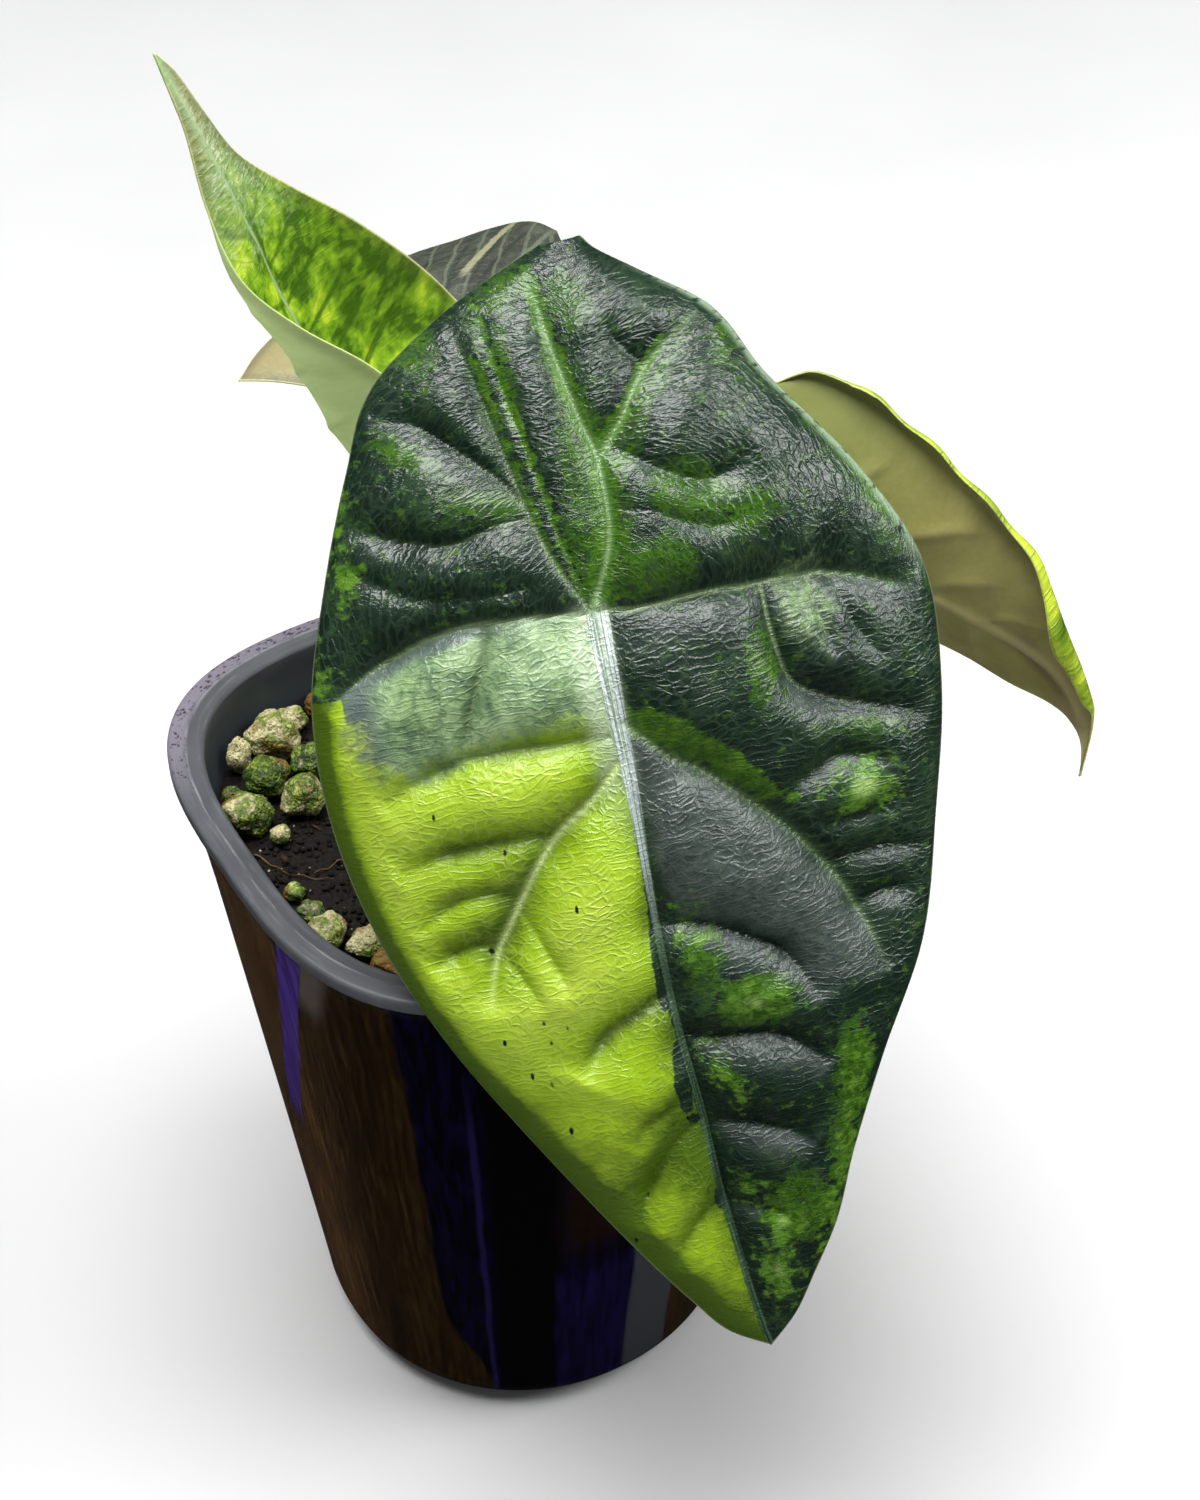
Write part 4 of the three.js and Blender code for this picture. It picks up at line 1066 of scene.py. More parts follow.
def cream_streaks(f, shade):
    """The back leaf's fine pale lines, one broad cream streak and a tan tip."""
    slant = f.along + f.across * -0.75
    lines = (slant * 1.25 + (f.cloud(f.chart, 6.0, 2.0) - 0.5) * 3).sine().rise(0.8, 1.0)
    shade = f.blend(lines * f.across.fall(-4, 0) * 0.4, shade, (0.12, 0.14, 0.09))
    centre = f.across + 6 + (f.along + 1) * -0.72 + (f.fine - 0.5) * 0.8
    streak = abs(centre).fall(0.5, 1.0) * f.along.rise(-20, -17) * f.along.fall(-4, -1)
    shade = f.blend(streak, shade, (0.17, 0.17, 0.1))
    return f.blend((f.along + (f.fine - 0.5) * 3).rise(26, 30), shade, (0.2, 0.175, 0.08))


def brown_midrib(f, shade):
    """The right leaf's underside: greener near the top, a purple-brown band by the midrib, a
    tan drip tip."""
    green = (f.along + (f.fine - 0.5) * 10).fall(-12, 16)
    shade = f.blend(green * 0.8, shade, (0.165, 0.195, 0.05))
    band = abs(f.across + 4).fall(1.0, 4.0) * f.along.rise(24, 40)
    shade = f.blend(band * 0.6, shade, (0.13, 0.09, 0.05))
    return f.blend(f.along.rise(46, 54) * 0.8, shade, (0.3, 0.25, 0.13))


def olive_edges(f, shade):
    """The left leaf's underside darkens to olive towards its margins and tip."""
    return f.blend(f.margin.fall(0.5, 3.5) * 0.35, shade, (0.12, 0.14, 0.04))


def build_front_leaf():
    top = front_leaf_top()
    under = blade_under(
        "front leaf, underside",
        [(0.3, (0.1, 0.15, 0.05)), (0.5, (0.16, 0.22, 0.08)), (0.7, (0.22, 0.28, 0.11))],
        (0.3, 0.36, 0.16))
    build_blade("front", [top, under], front_marks, front_trim)


def build_left_leaf():
    top = blade_top(
        "left leaf, upper side",
        [(0.4, (0.05, 0.13, 0.0005)), (0.48, (0.17, 0.34, 0.003)), (0.53, (0.28, 0.46, 0.007)),
         (0.6, (0.5, 0.66, 0.016))],
        {"rib width": (0.25, 0.75), "rib": (0.3, 0.42, 0.2), "rib end": 90, "shaded left half": 0.04,
         "rim": (0.12, 0.15, 0.015)},
        frosted_tip, net_size=1.6, net_height=0.045)
    under = blade_under(
        "left leaf, underside",
        [(0.3, (0.52, 0.7, 0.24)), (0.5, (0.62, 0.8, 0.3)), (0.7, (0.7, 0.86, 0.38))],
        (0.24, 0.36, 0.12), olive_edges)
    build_blade("left", [top, under])


def build_right_leaf():
    top = blade_top(
        "right leaf, upper side",
        [(0.38, (0.025, 0.085, 0.0006)), (0.47, (0.13, 0.22, 0.002)), (0.58, (0.36, 0.44, 0.012))],
        {"rib width": (0.3, 0.9), "rib": (0.3, 0.4, 0.14), "rib end": 60, "shaded left half": 0,
         "rim": (0.3, 0.38, 0.02)})
    under = blade_under(
        "right leaf, underside",
        [(0.3, (0.2, 0.18, 0.055)), (0.5, (0.26, 0.24, 0.07)), (0.7, (0.3, 0.29, 0.09))],
        (0.3, 0.27, 0.11), brown_midrib)
    build_blade("right", [top, under])


def build_back_leaf():
    top = blade_top(
        "back leaf, upper side",
        [(0.32, (0.014, 0.017, 0.013)), (0.5, (0.026, 0.03, 0.024)), (0.66, (0.045, 0.05, 0.038))],
        {"rib width": (0.2, 0.8), "rib": (0.08, 0.09, 0.06), "rib end": 22, "shaded left half": 0,
         "rim": (0.06, 0.06, 0.04)},
        cream_streaks, gloss=0.5, net_size=2.0, net_height=0.06)
    under = blade_under(
        "back leaf, underside",
        [(0.3, (0.1, 0.13, 0.06)), (0.5, (0.15, 0.19, 0.09)), (0.7, (0.2, 0.24, 0.12))],
        (0.26, 0.3, 0.16))
    build_blade("back", [top, under])


# Stalks and stem

def centripetal(points, steps):
    """Points on the centripetal curve through the given ones."""
    p = np.asarray(points, float)
    p = np.vstack([2 * p[0] - p[1], p, 2 * p[-1] - p[-2]])
    out = []
    for a, b, c, d in zip(p, p[1:], p[2:], p[3:]):
        gaps = [np.linalg.norm(y - x) ** 0.5 for x, y in ((a, b), (b, c), (c, d))]
        t0, t1, t2, t3 = np.cumsum([0, *gaps])
        for t in np.linspace(t1, t2, steps, endpoint=False):
            ab = (a * (t1 - t) + b * (t - t0)) / (t1 - t0)
            bc = (b * (t2 - t) + c * (t - t1)) / (t2 - t1)
            cd = (c * (t3 - t) + d * (t - t2)) / (t3 - t2)
            abc = (ab * (t2 - t) + bc * (t - t0)) / (t2 - t0)
            bcd = (bc * (t3 - t) + cd * (t - t1)) / (t3 - t1)
            out.append((abc * (t2 - t) + bcd * (t - t1)) / (t2 - t1))
    return np.array([*out, p[-2]])


def sweep(path, radius_at, sides=28):
    """Rings round a path; radius_at(share, angle) gives each ring's outline."""
    tangent = unit(np.gradient(path, axis=0))
    side = unit(np.cross(tangent[0], (0.3, 0.9, 0.1)))
    rings = []
    for k, (centre, t) in enumerate(zip(path, tangent)):
        side = unit(side - t * (side @ t))
        other = np.cross(t, side)
        angle = np.arange(sides) * 2 * np.pi / sides
        radius = radius_at(k / (len(path) - 1), angle)
        outward = np.cos(angle)[:, None] * side + np.sin(angle)[:, None] * other
        rings.append(centre + radius[:, None] * outward)
    return np.array(rings)


def closed_tube(rings):
    """Points and faces of a stack of rings closed at both ends by a centre point."""
    count, sides = rings.shape[:2]
    points = np.vstack([rings.reshape(-1, 3), rings[0].mean(0), rings[-1].mean(0)])
    faces = grid_faces(count, sides, closed=True)
    first, last = count * sides, count * sides + 1
    for k in range(sides):
        n = (k + 1) % sides
        faces.append([first, n, k])
        faces.append([last, (count - 1) * sides + k, (count - 1) * sides + n])
    return points, faces


def stalk_finish():
    f = Finish("leaf stalk", Specular_IOR_Level=0.45)
    place = f.place()
    low = f.parts(place)[2]
    streak = f.cloud(f.stretch(place, (1.0, 1.0, 0.16)), 1.0, 3.0, 0.6)
    spots = f.cloud(f.stretch(place, (1.0, 1.0, 0.45)), 1.7, 4.0, 0.7)
    shade = f.tint(streak, [(0.35, (0.13, 0.2, 0.05)), (0.65, (0.26, 0.34, 0.11))])
    shade = f.blend(spots.rise(0.56, 0.62) * 0.45, shade, (0.1, 0.09, 0.04))
    shade = f.blend(low.fall(114, 136) * 0.7, shade, (0.12, 0.07, 0.045))
    height = 0.12 * streak + 0.06 * f.cloud(place, 0.5, 3.0)
    return f.wear(Base_Color=shade, Roughness=0.38 + 0.2 * spots, Normal=f.relief(height))


# Radii in mm of a stalk's middle, of what its foot and its joint add, and its groove's depth
STALK_RADIUS, FOOT_FLARE, JOINT_FLARE, GROOVE_DEPTH = 2.15, 1.5, 1.1, 0.22
# How far under the blade's midrib the middle of a stalk's end lies, and how deep its foot sits
STALK_DROP, FOOT_DEPTH = 3.4, 1.5


def stalk_end(leaf):
    """The hub's underside, where the stalk runs into the blade."""
    hub, _, up, across = chart_axes(leaf)
    row = rows_at(leaf, np.array([0.0]))[0]
    return hub + across * row[2] - up * (row[5] + STALK_DROP), up


def build_stalks():
    finish = stalk_finish()
    for name, leaf in LEAVES.items():
        end, up = stalk_end(leaf)
        foot = np.array([*leaf["stalk_foot"], STEM_TOP - FOOT_DEPTH])
        path = [foot, foot + (0, 0, 5.5), *leaf["stalk"], end - up * 3.5, end]
        path = centripetal(path, 14)

        def radius(share, angle):
            base = FOOT_FLARE * math.exp(-share / 0.09)
            joint = JOINT_FLARE * math.exp(-(1 - share) / 0.035)
            groove = GROOVE_DEPTH * np.exp(-((np.cos(angle) - 1) / 0.25) ** 2) * min(1, share * 6)
            return STALK_RADIUS - 0.25 * share + base + joint - groove

        points, faces = closed_tube(sweep(path, radius))
        points = points + 0.06 * wavy(points, 1.6)[:, None]
        make_piece(f"{name}_petiole", points, faces, [finish],
                   [f"{name}_leaf_stalk"])


def stem_finish():
    f = Finish("stem base", Specular_IOR_Level=0.3)
    place = f.place()
    height_mm = f.parts(place)[2]
    rings = (height_mm * 2.4 + 3 * f.cloud(place, 6.0)).sine()
    fibre = f.cloud(f.stretch(place, (1.0, 1.0, 0.12)), 0.8, 4.0, 0.65)
    shade = f.tint(fibre * 0.7 + rings * 0.12 + 0.1, [
        (0.25, (0.035, 0.02, 0.01)), (0.45, (0.14, 0.09, 0.045)), (0.7, (0.3, 0.24, 0.12))])
    shade = f.blend(height_mm.rise(112, 117) * 0.5, shade, (0.16, 0.2, 0.07))
    return f.wear(Base_Color=shade, Roughness=0.75, Normal=f.relief(0.5 * fibre + 0.12 * rings))


def build_stem():
    """A stubby stem wrapped in torn papery sheaths, one round each stalk's foot."""
    rings = []
    profile = smooth_route([(5.2, 93), (7.6, 98), (8.2, 106), (8, 110.5), (7, 113.6), (4.5, 115.4)], 8)
    angle = np.arange(64) * 2 * np.pi / 64
    for radius, height in profile:
        wave = 0.35 * np.sin(3 * angle + height * 0.3) + 0.25 * math.sin(height * 2.1)
        reach = radius + wave * min(1, radius / 8)
        rings.append(np.stack([reach * np.cos(angle), reach * np.sin(angle),
                               height + 0.3 * np.sin(2 * angle + 1)], -1))
    parts = [closed_tube(np.array(rings))]
    for k, leaf in enumerate(LEAVES.values()):
        parts.append(torn_sheath(np.array(leaf["stalk_foot"], float), 4.3 - 0.2 * k, 5.5 + 1.6 * k, k))
    points, faces = joined(parts)
    make_piece("stem_crown", points, faces, [stem_finish()], ["stem_base"])


# Height of the sheaths' foot and how thick they are, in mm, and how far round they reach, in radians
SHEATH_FOOT, SHEATH_THICKNESS, SHEATH_REACH = 113.2, 0.35, 2.5


def torn_sheath(centre, radius, tall, seed):
    """A papery collar, open on one side, with a ragged top."""
    columns, rows = 44, 14
    rng = np.random.default_rng(40 + seed)
    turn = math.atan2(centre[1], centre[0])
    angle = turn + np.linspace(-SHEATH_REACH, SHEATH_REACH, columns)
    tooth = 1 + 0.22 * wavy(np.stack([angle * 3, 0 * angle, 0 * angle], -1), 1.0, seed)
    tooth = tooth + 0.1 * rng.uniform(-1, 1, columns)
    taper = np.cos(np.linspace(-SHEATH_REACH, SHEATH_REACH, columns) / 2) ** 0.6
    outer = []
    for r in range(rows):
        share = r / (rows - 1)
        reach = radius + 0.9 * share**2 + 0.5 * (1 - share)
        outer.append(np.stack([
            centre[0] + reach * np.cos(angle), centre[1] + reach * np.sin(angle),
            SHEATH_FOOT + share * tall * tooth * taper], -1))
    outer = np.array(outer)
    hub = np.array([centre[0], centre[1], 0])
    inward = unit((hub - outer) * (1, 1, 0))
    inner = outer + inward * SHEATH_THICKNESS
    size = rows * columns
    faces = grid_faces(rows, columns) + grid_faces(rows, columns, size, flip=True)
    ring = grid_border(rows, columns)
    for a, b in zip(ring, ring[1:] + ring[:1]):
        faces.append([b, a, size + a, size + b])
    return np.vstack([outer.reshape(-1, 3), inner.reshape(-1, 3)]), faces


def joined(parts):
    """One shape from several, each given as its points and faces."""
    points, faces, start = [], [], 0
    for p, f in parts:
        points.append(p)
        faces += [[start + i for i in face] for face in f]
        start += len(p)
    return np.vstack(points), faces


# Pot

POT_SIDES = 288


def cover_radius(z):
    share = (z - COVER_SHOULDER) / (COVER_EDGE - COVER_SHOULDER)
    return COVER_LOW + share * (COVER_TOP - COVER_LOW)


def pot_ring(radius, height):
    """A rounded square that becomes round towards the foot."""
    power = SQUARE_FOOT + (SQUARE_RIM - SQUARE_FOOT) * height / RIM_HEIGHT
    angle = np.arange(POT_SIDES) * 2 * np.pi / POT_SIDES
    c, s = np.cos(angle), np.sin(angle)
    reach = radius * (np.abs(c) ** power + np.abs(s) ** power) ** (-1 / power)
    return np.stack([reach * np.cos(angle + POT_TURN), reach * np.sin(angle + POT_TURN),
                     np.full(POT_SIDES, height)], -1)


def pot_shell(profile):
    """A closed shell from its profile, a list of (radius, height)."""
    return closed_tube(np.array([pot_ring(radius, height) for radius, height in profile]))


def arc(centre, radius, start, end, steps):
    """Profile points on an arc, with angles in degrees from outward, turning upward."""
    return [(centre[0] + radius * math.cos(math.radians(a)),
             centre[1] + radius * math.sin(math.radians(a)))
            for a in np.linspace(start, end, steps)]


def cover_finish():
    """High-gloss dark shell whose colour carries painted reflections of its surroundings: streaks that
    run down it, brown with a grain like timber, violet, navy, black and grey. The far side repeats the
    near side."""
    f = Finish("cover pot gloss", Roughness=0.06, Specular_IOR_Level=0.3)
    place = f.place()
    x, y, z = f.parts(place)
    turn = f.math_node("WRAP", f.math_node("ARCTAN2", y, x) * (180 / math.pi), 0, -180)
    wobble = f.cloud(f.stretch(place, (1.0, 1.0, 0.5)), 16.0, 3.0)
    angle = turn + (wobble - 0.5) * 5
    grain = f.cloud(f.stretch(place, (1.0, 1.0, 0.03)), 1.2, 5.0, 0.6, 0.3)
    broad = f.cloud(f.stretch(place, (1.0, 1.0, 0.12)), 14.0, 3.0)
    # All the colours below are painted reflections of the surroundings, fixed on the shell
    reflected_growth_lines = (angle * 2.6 + broad * 26).sine()
    reflected_figure = grain * 0.55 + broad * 0.35 + reflected_growth_lines * 0.035 + 0.05
    reflected_wood = f.tint(reflected_figure, [
        (0.38, (0.024, 0.011, 0.002)), (0.5, (0.062, 0.031, 0.008)), (0.6, (0.13, 0.072, 0.024))])
    reflected_dark_wood = f.tint(reflected_figure, [
        (0.38, (0.0055, 0.003, 0.0007)), (0.5, (0.0105, 0.0056, 0.0013)), (0.6, (0.019, 0.0105, 0.0027))])
    reflected_wood = f.blend(angle.rise(-152, -122) * 0.94, reflected_wood, reflected_dark_wood)

    def band(low, high, soft=0.8):
        return angle.rise(low - soft, low + soft) * angle.fall(high - soft, high + soft)

    navy_reflection = f.blend(grain.rise(0.42, 0.62), (0.0004, 0.0003, 0.0015), (0.0018, 0.001, 0.011))
    shade = f.blend(band(z.fall(6, 32) * 10 - 107.5, -59), reflected_wood, navy_reflection)
    shade = f.blend(band(-94.5, -80, 1.5), shade, (0.0004, 0.0003, 0.0004))
    shade = f.blend(band(-97.5, -96.2, 0.5) * z.fall(80, 104), shade, (0.008, 0.005, 0.034))
    shade = f.blend(band(-80, -60, 0.8) * z.fall(38, 44), shade,
                    f.blend(grain.rise(0.4, 0.62), (0.0018, 0.001, 0.01), (0.005, 0.0025, 0.024)))
    shade = f.blend(band(-79, -61, 4.0) * z.rise(42, 54), shade, (0.006, 0.0028, 0.0012))
    shade = f.blend(band(-60.5, -47, 0.8) * z.fall(40, 60), shade, (0.028, 0.03, 0.033))
    sweep_down = angle + (114 - z) * 0.41
    violet = sweep_down.rise(-134.2, -133.2) * sweep_down.fall(-126.6, -125.8) * z.rise(56, 64)
    violet_tone = f.blend(grain.rise(0.4, 0.62), (0.03, 0.012, 0.11), (0.06, 0.032, 0.2))
    shade = f.blend(violet, shade, violet_tone)
    wedge = sweep_down.rise(-126.4, -125.6) * sweep_down.fall(-122, -118) * z.rise(98, 106)
    shade = f.blend(wedge, shade, (0.07, 0.056, 0.05))
    return f.wear(Base_Color=shade, Normal=f.relief(0.1 * wobble))


def liner_finish():
    """Satin grey nursery plastic with lighter scuffs, a painted lilac sheen on the outer half of the lip
    on its far left, a painted highlight along the bead at its edge, dirt flecks along that edge, and
    painted shade that makes the inside darker and slate-blue."""
    f = Finish("liner plastic", Specular_IOR_Level=0.3)
    place = f.place()
    x, y, _ = f.parts(place)
    from_edge = f.mark("from_edge")
    round_rim = f.math_node("ARCTAN2", y, x) * RIM_RADIUS
    cloud = f.cloud(place, 14.0, 4.0, 0.6)
    scuff = f.cloud(f.vector(round_rim * 0.12, from_edge * 1.6), 1.0, 5.0, 0.65)
    shade = f.tint(cloud, [(0.35, (0.048, 0.051, 0.057)), (0.65, (0.066, 0.068, 0.076))])
    outer = from_edge.fall(2.0, 3.2)
    far_left = (y - x * 0.6).rise(14, 44)
    # Painted lilac sheen on the outer half of the lip, on its far left
    shade = f.blend(outer * far_left * 0.8, shade, (0.165, 0.145, 0.185))
    shade = f.blend(scuff.rise(0.5, 0.72) * 0.3, shade, (0.15, 0.155, 0.17))
    # A painted highlight along the bead, broken up by the scuffs
    bead = abs(from_edge - 2.7).fall(0.05, 0.32) * scuff.rise(0.42, 0.6)
    shade = f.blend(bead * 0.6, shade, (0.2, 0.2, 0.215))
    # Painted shade darkens the lip's inner part and the wall inside
    shade = f.blend(from_edge.rise(4.6, 8.5), shade, (0.04, 0.05, 0.06))
    on_rim = f.warp(f.vector(round_rim * 0.8, from_edge * 1.4), 0.5, 0.5)
    dirt = f.cells(on_rim, 0.75).fall(0.32, 0.46) * f.lot(on_rim, 0.75).rise(0.3, 0.34)
    few = f.cloud(place, 6.0, 3.0).rise(0.36, 0.5) * far_left.rise(0.02, 0.35)
    fleck = dirt * few * outer * from_edge.rise(0.15, 0.6)
    shade = f.blend(fleck * 0.92, shade, (0.008, 0.007, 0.008))
    height = 0.05 * scuff + 0.03 * f.cloud(place, 0.6, 2.0)
    return f.wear(Base_Color=shade, Roughness=0.36 + 0.2 * scuff, Normal=f.relief(height))


def flared(z):
    """The cover pot's outside: a straight taper that opens a little towards the lip."""
    return cover_radius(z) + 0.5 * max(0.0, (z - 95) / (COVER_EDGE - 95)) ** 2


def build_cover():
    """The cover pot's shell: foot, flared wall, rounded edge, and the wall's inside."""
    flare = COVER_LOW - COVER_FOOT
    foot = [(2, 0), (12, 0), (24, 0)] + [
        (COVER_FOOT + flare * math.sin(a), COVER_SHOULDER * (1 - math.cos(a)))
        for a in np.linspace(0, math.pi / 2, 16)]
    body = [(flared(z), z) for z in np.linspace(12, COVER_EDGE - 0.6, 34)]
    half_wall = COVER_WALL / 2
    edge = arc((flared(COVER_EDGE) - half_wall, COVER_EDGE - half_wall), half_wall, 0, 180, 8)
    inner = [(cover_radius(z) - COVER_WALL, z) for z in np.linspace(COVER_EDGE - 1.5, 10, 16)]
    shell = foot + body + edge + inner + [(COVER_FOOT, 2), (12, 2), (2, 2)]
    points, faces = pot_shell(shell)
    make_piece("pot_body", points, faces, [cover_finish()], ["cover_pot"])


def build_liner():
    """The liner: a shell inside the cover pot, and a thick lip with a fine bead over its edge."""
    under = COVER_EDGE + LIP_GAP
    lip_inner = RIM_RADIUS - LIP_WIDTH

    def wall(z, inset):
        return cover_radius(z) - COVER_WALL - AIR_GAP - inset

    outside = [(2, LINER_FLOOR), (20, LINER_FLOOR), (wall(14, 5), LINER_FLOOR),
               (wall(12, 0), LINER_FLOOR + 5)]
    outside += [(wall(z, 0), z) for z in np.linspace(20, under - 0.4, 14)]
    lip = [(wall(under, 0) + 0.5, under), (RIM_RADIUS - 0.5, under)]
    lip += arc((RIM_RADIUS - 0.45, under + 0.45), 0.45, -80, 0, 4)
    lip += arc((RIM_RADIUS - 0.7, RIM_HEIGHT - 0.7), 0.7, 0, 85, 7)
    lip += [(RIM_RADIUS - 1.6, RIM_HEIGHT - 0.05), (RIM_RADIUS - 2.5, RIM_HEIGHT - 0.16),
            (RIM_RADIUS - 2.7, RIM_HEIGHT - 0.13), (RIM_RADIUS - 2.95, RIM_HEIGHT - 0.26),
            (RIM_RADIUS - 3.8, RIM_HEIGHT - 0.5)]
    lip += arc((lip_inner + 0.9, RIM_HEIGHT - 1.6), 0.9, 82, 165, 7)
    within = [(wall(z, LINER_WALL), z) for z in np.linspace(under - 2, 16, 16)]
    within += [(wall(12, LINER_WALL) - 0.4, LINER_FLOOR + 5.5), (wall(14, 6), LINER_FLOOR + 1),
               (20, LINER_FLOOR + 1), (2, LINER_FLOOR + 1)]
    points, faces = pot_shell(outside + lip + within)
    from_edge = ([-5] * len(outside) + [RIM_RADIUS - radius for radius, _ in lip] + [9] * len(within))
    from_edge = [*np.repeat(from_edge, POT_SIDES), -5, 9]
    make_piece("pot_liner", points, faces, [liner_finish()], ["liner_pot"],
               marks={"from_edge": from_edge})


# Potting mix

def soil_top(x, y):
    return SOIL_EDGE + SOIL_MOUND * np.exp(-(x * x + y * y) / MOUND_WIDTH**2)


def soil_finish():
    f = Finish("potting mix", Specular_IOR_Level=0.15)
    place = f.place()
    crumb = f.cells(place, 1.3)
    fine = f.cloud(place, 0.7, 5.0, 0.7)
    damp = f.cloud(place, 12.0, 2.0)
    shade = f.tint(fine, [(0.35, (0.002, 0.0016, 0.0013)), (0.6, (0.011, 0.008, 0.006)),
                          (0.75, (0.03, 0.022, 0.015))])
    elsewhere = f.shift(place, (7.0, 3.0, 1.0))
    glint = f.cells(elsewhere, 1.1).fall(0.1, 0.16) * f.lot(elsewhere, 1.1).rise(0.86, 0.88)
    shade = f.blend(glint, shade, (0.35, 0.33, 0.26))
    shade = f.blend(damp.rise(0.55, 0.7) * 0.25, shade, (0.012, 0.016, 0.004))
    height = 0.5 * crumb + 0.5 * fine
    return f.wear(Base_Color=shade, Roughness=0.62 + 0.3 * damp, Normal=f.relief(height))


CLOD_HEIGHT, CRUMB_HEIGHT = 0.45, 0.22


def build_soil():
    """The mix fills the liner; its top is crumbly, a little mounded, with an uneven surface."""
    edge = cover_radius(SOIL_EDGE) - COVER_WALL - AIR_GAP - LINER_WALL + 0.05
    floor = LINER_FLOOR + 1.2
    low_radius = cover_radius(12) - 4.5
    ring_count = 116
    rings = [pot_ring(2, floor), pot_ring(low_radius, floor), pot_ring(cover_radius(60) - 2.6, 60)]
    for k in range(ring_count):
        ring = pot_ring(edge * (1 - k / ring_count) + 0.2, SOIL_EDGE)
        ring[:, 2] = soil_top(ring[:, 0], ring[:, 1])
        if 0 < k:
            flat = ring * (1, 1, 0)
            lump = CLOD_HEIGHT * rugged(flat, 3.2, 4, 5.0) + CRUMB_HEIGHT * rugged(flat, 0.9, 2, 9.0)
            ring[:, 2] += lump * min(1, k / 4)
        rings.append(ring)
    points, faces = closed_tube(np.array(rings))
    make_piece("mix_surface", points, faces, [soil_finish()], ["potting_mix"])


def scatter(count, sizes, seed, stretch):
    """Small angular grains strewn over the mix."""
    rng = np.random.default_rng(seed)
    shape, faces = ball(1)
    parts = []
    limit = cover_radius(SOIL_EDGE) - 4.5
    while len(parts) < count:
        x, y = rng.uniform(-limit, limit, 2)
        local = about_z(-POT_TURN) @ (x, y, 0)
        if (np.abs(local) ** 3).sum() > limit**3 or x * x + y * y < STEM_CLEARANCE**2:
            continue
        size = rng.uniform(*sizes)
        grain = shape * rng.uniform(0.65, 1.2, (len(shape), 1)) * size * stretch
        a, b = rng.uniform(0, 2 * math.pi), rng.uniform(-0.5, 0.5)
        tilt = np.array([[1, 0, 0], [0, math.cos(b), -math.sin(b)], [0, math.sin(b), math.cos(b)]])
        grain = grain @ tilt.T @ about_z(a).T
        parts.append((grain + (x, y, soil_top(x, y) + 0.35 * size), faces))
    return joined(parts)


def crumb_finish(name, dark, light):
    f = Finish(name, Specular_IOR_Level=0.15)
    place = f.place()
    tone = f.cloud(place, 1.1, 4.0, 0.65)
    wide = f.cloud(place, 5.0, 2.0)
    shade = f.tint(tone * 0.5 + wide * 0.5, [(0.4, dark), (0.6, light)])
    return f.wear(Base_Color=shade, Roughness=0.7 + 0.2 * tone, Normal=f.relief(0.35 * tone))


# Grains on the mix as (piece, finish, how many, sizes, stretch, dark tone, light tone, slot)
LITTER = [
    ("mix_crumbs", "mix crumbs", 3400, (0.18, 0.6), (1, 1, 1),
     (0.0015, 0.001, 0.0008), (0.009, 0.0065, 0.0045), "potting_mix"),
    ("mix_grit", "pale grit", 150, (0.1, 0.28), (1, 1, 1),
     (0.2, 0.18, 0.12), (0.5, 0.47, 0.36), "potting_mix"),
    ("bark_fines", "bark fines", 110, (0.4, 0.85), (2.2, 0.7, 0.45),
     (0.006, 0.003, 0.0015), (0.04, 0.022, 0.009), "bark"),
]
FIRST_SEED = 11

# Surface roots as (where one starts, its heading in degrees, its length)
ROOTS = [((-41, -9.5), -50, 15), ((-31, -14), 20, 12), ((-20, -18), -10, 10), ((12, 20), 100, 14),
         ((25, -8), -60, 12), ((-10, 26), 160, 11)]
ROOT_RADIUS, ROOT_STEPS = 0.15, 6


def build_litter():
    for k, (piece, finish, count, sizes, stretch, dark, light, slot) in enumerate(LITTER):
        points, faces = scatter(count, sizes, FIRST_SEED + k, stretch)
        make_piece(piece, points, faces, [crumb_finish(finish, dark, light)])
    fibres = []
    rng = np.random.default_rng(FIRST_SEED + len(LITTER))
    for start, heading, length in ROOTS:
        route = [np.array([*start, 0.0])]
        for _ in range(ROOT_STEPS):
            heading += rng.uniform(-22, 22)
            turn = math.radians(heading)
            ahead = np.array([math.cos(turn), math.sin(turn), 0])
            route.append(route[-1] + length / ROOT_STEPS * ahead)
        route = smooth_route(route, 6)
        route[:, 2] = soil_top(route[:, 0], route[:, 1]) + 0.5 + 0.3 * np.sin(np.arange(len(route)) * 0.6)
        tube = sweep(route, lambda share, angle: ROOT_RADIUS * (1 - 0.5 * share) + 0 * angle, 8)
        fibres.append(closed_tube(tube))
    points, faces = joined(fibres)
    make_piece("surface_roots", points, faces,
               [crumb_finish("root fibres", (0.04, 0.02, 0.007), (0.13, 0.075, 0.03))])


# Top dressing

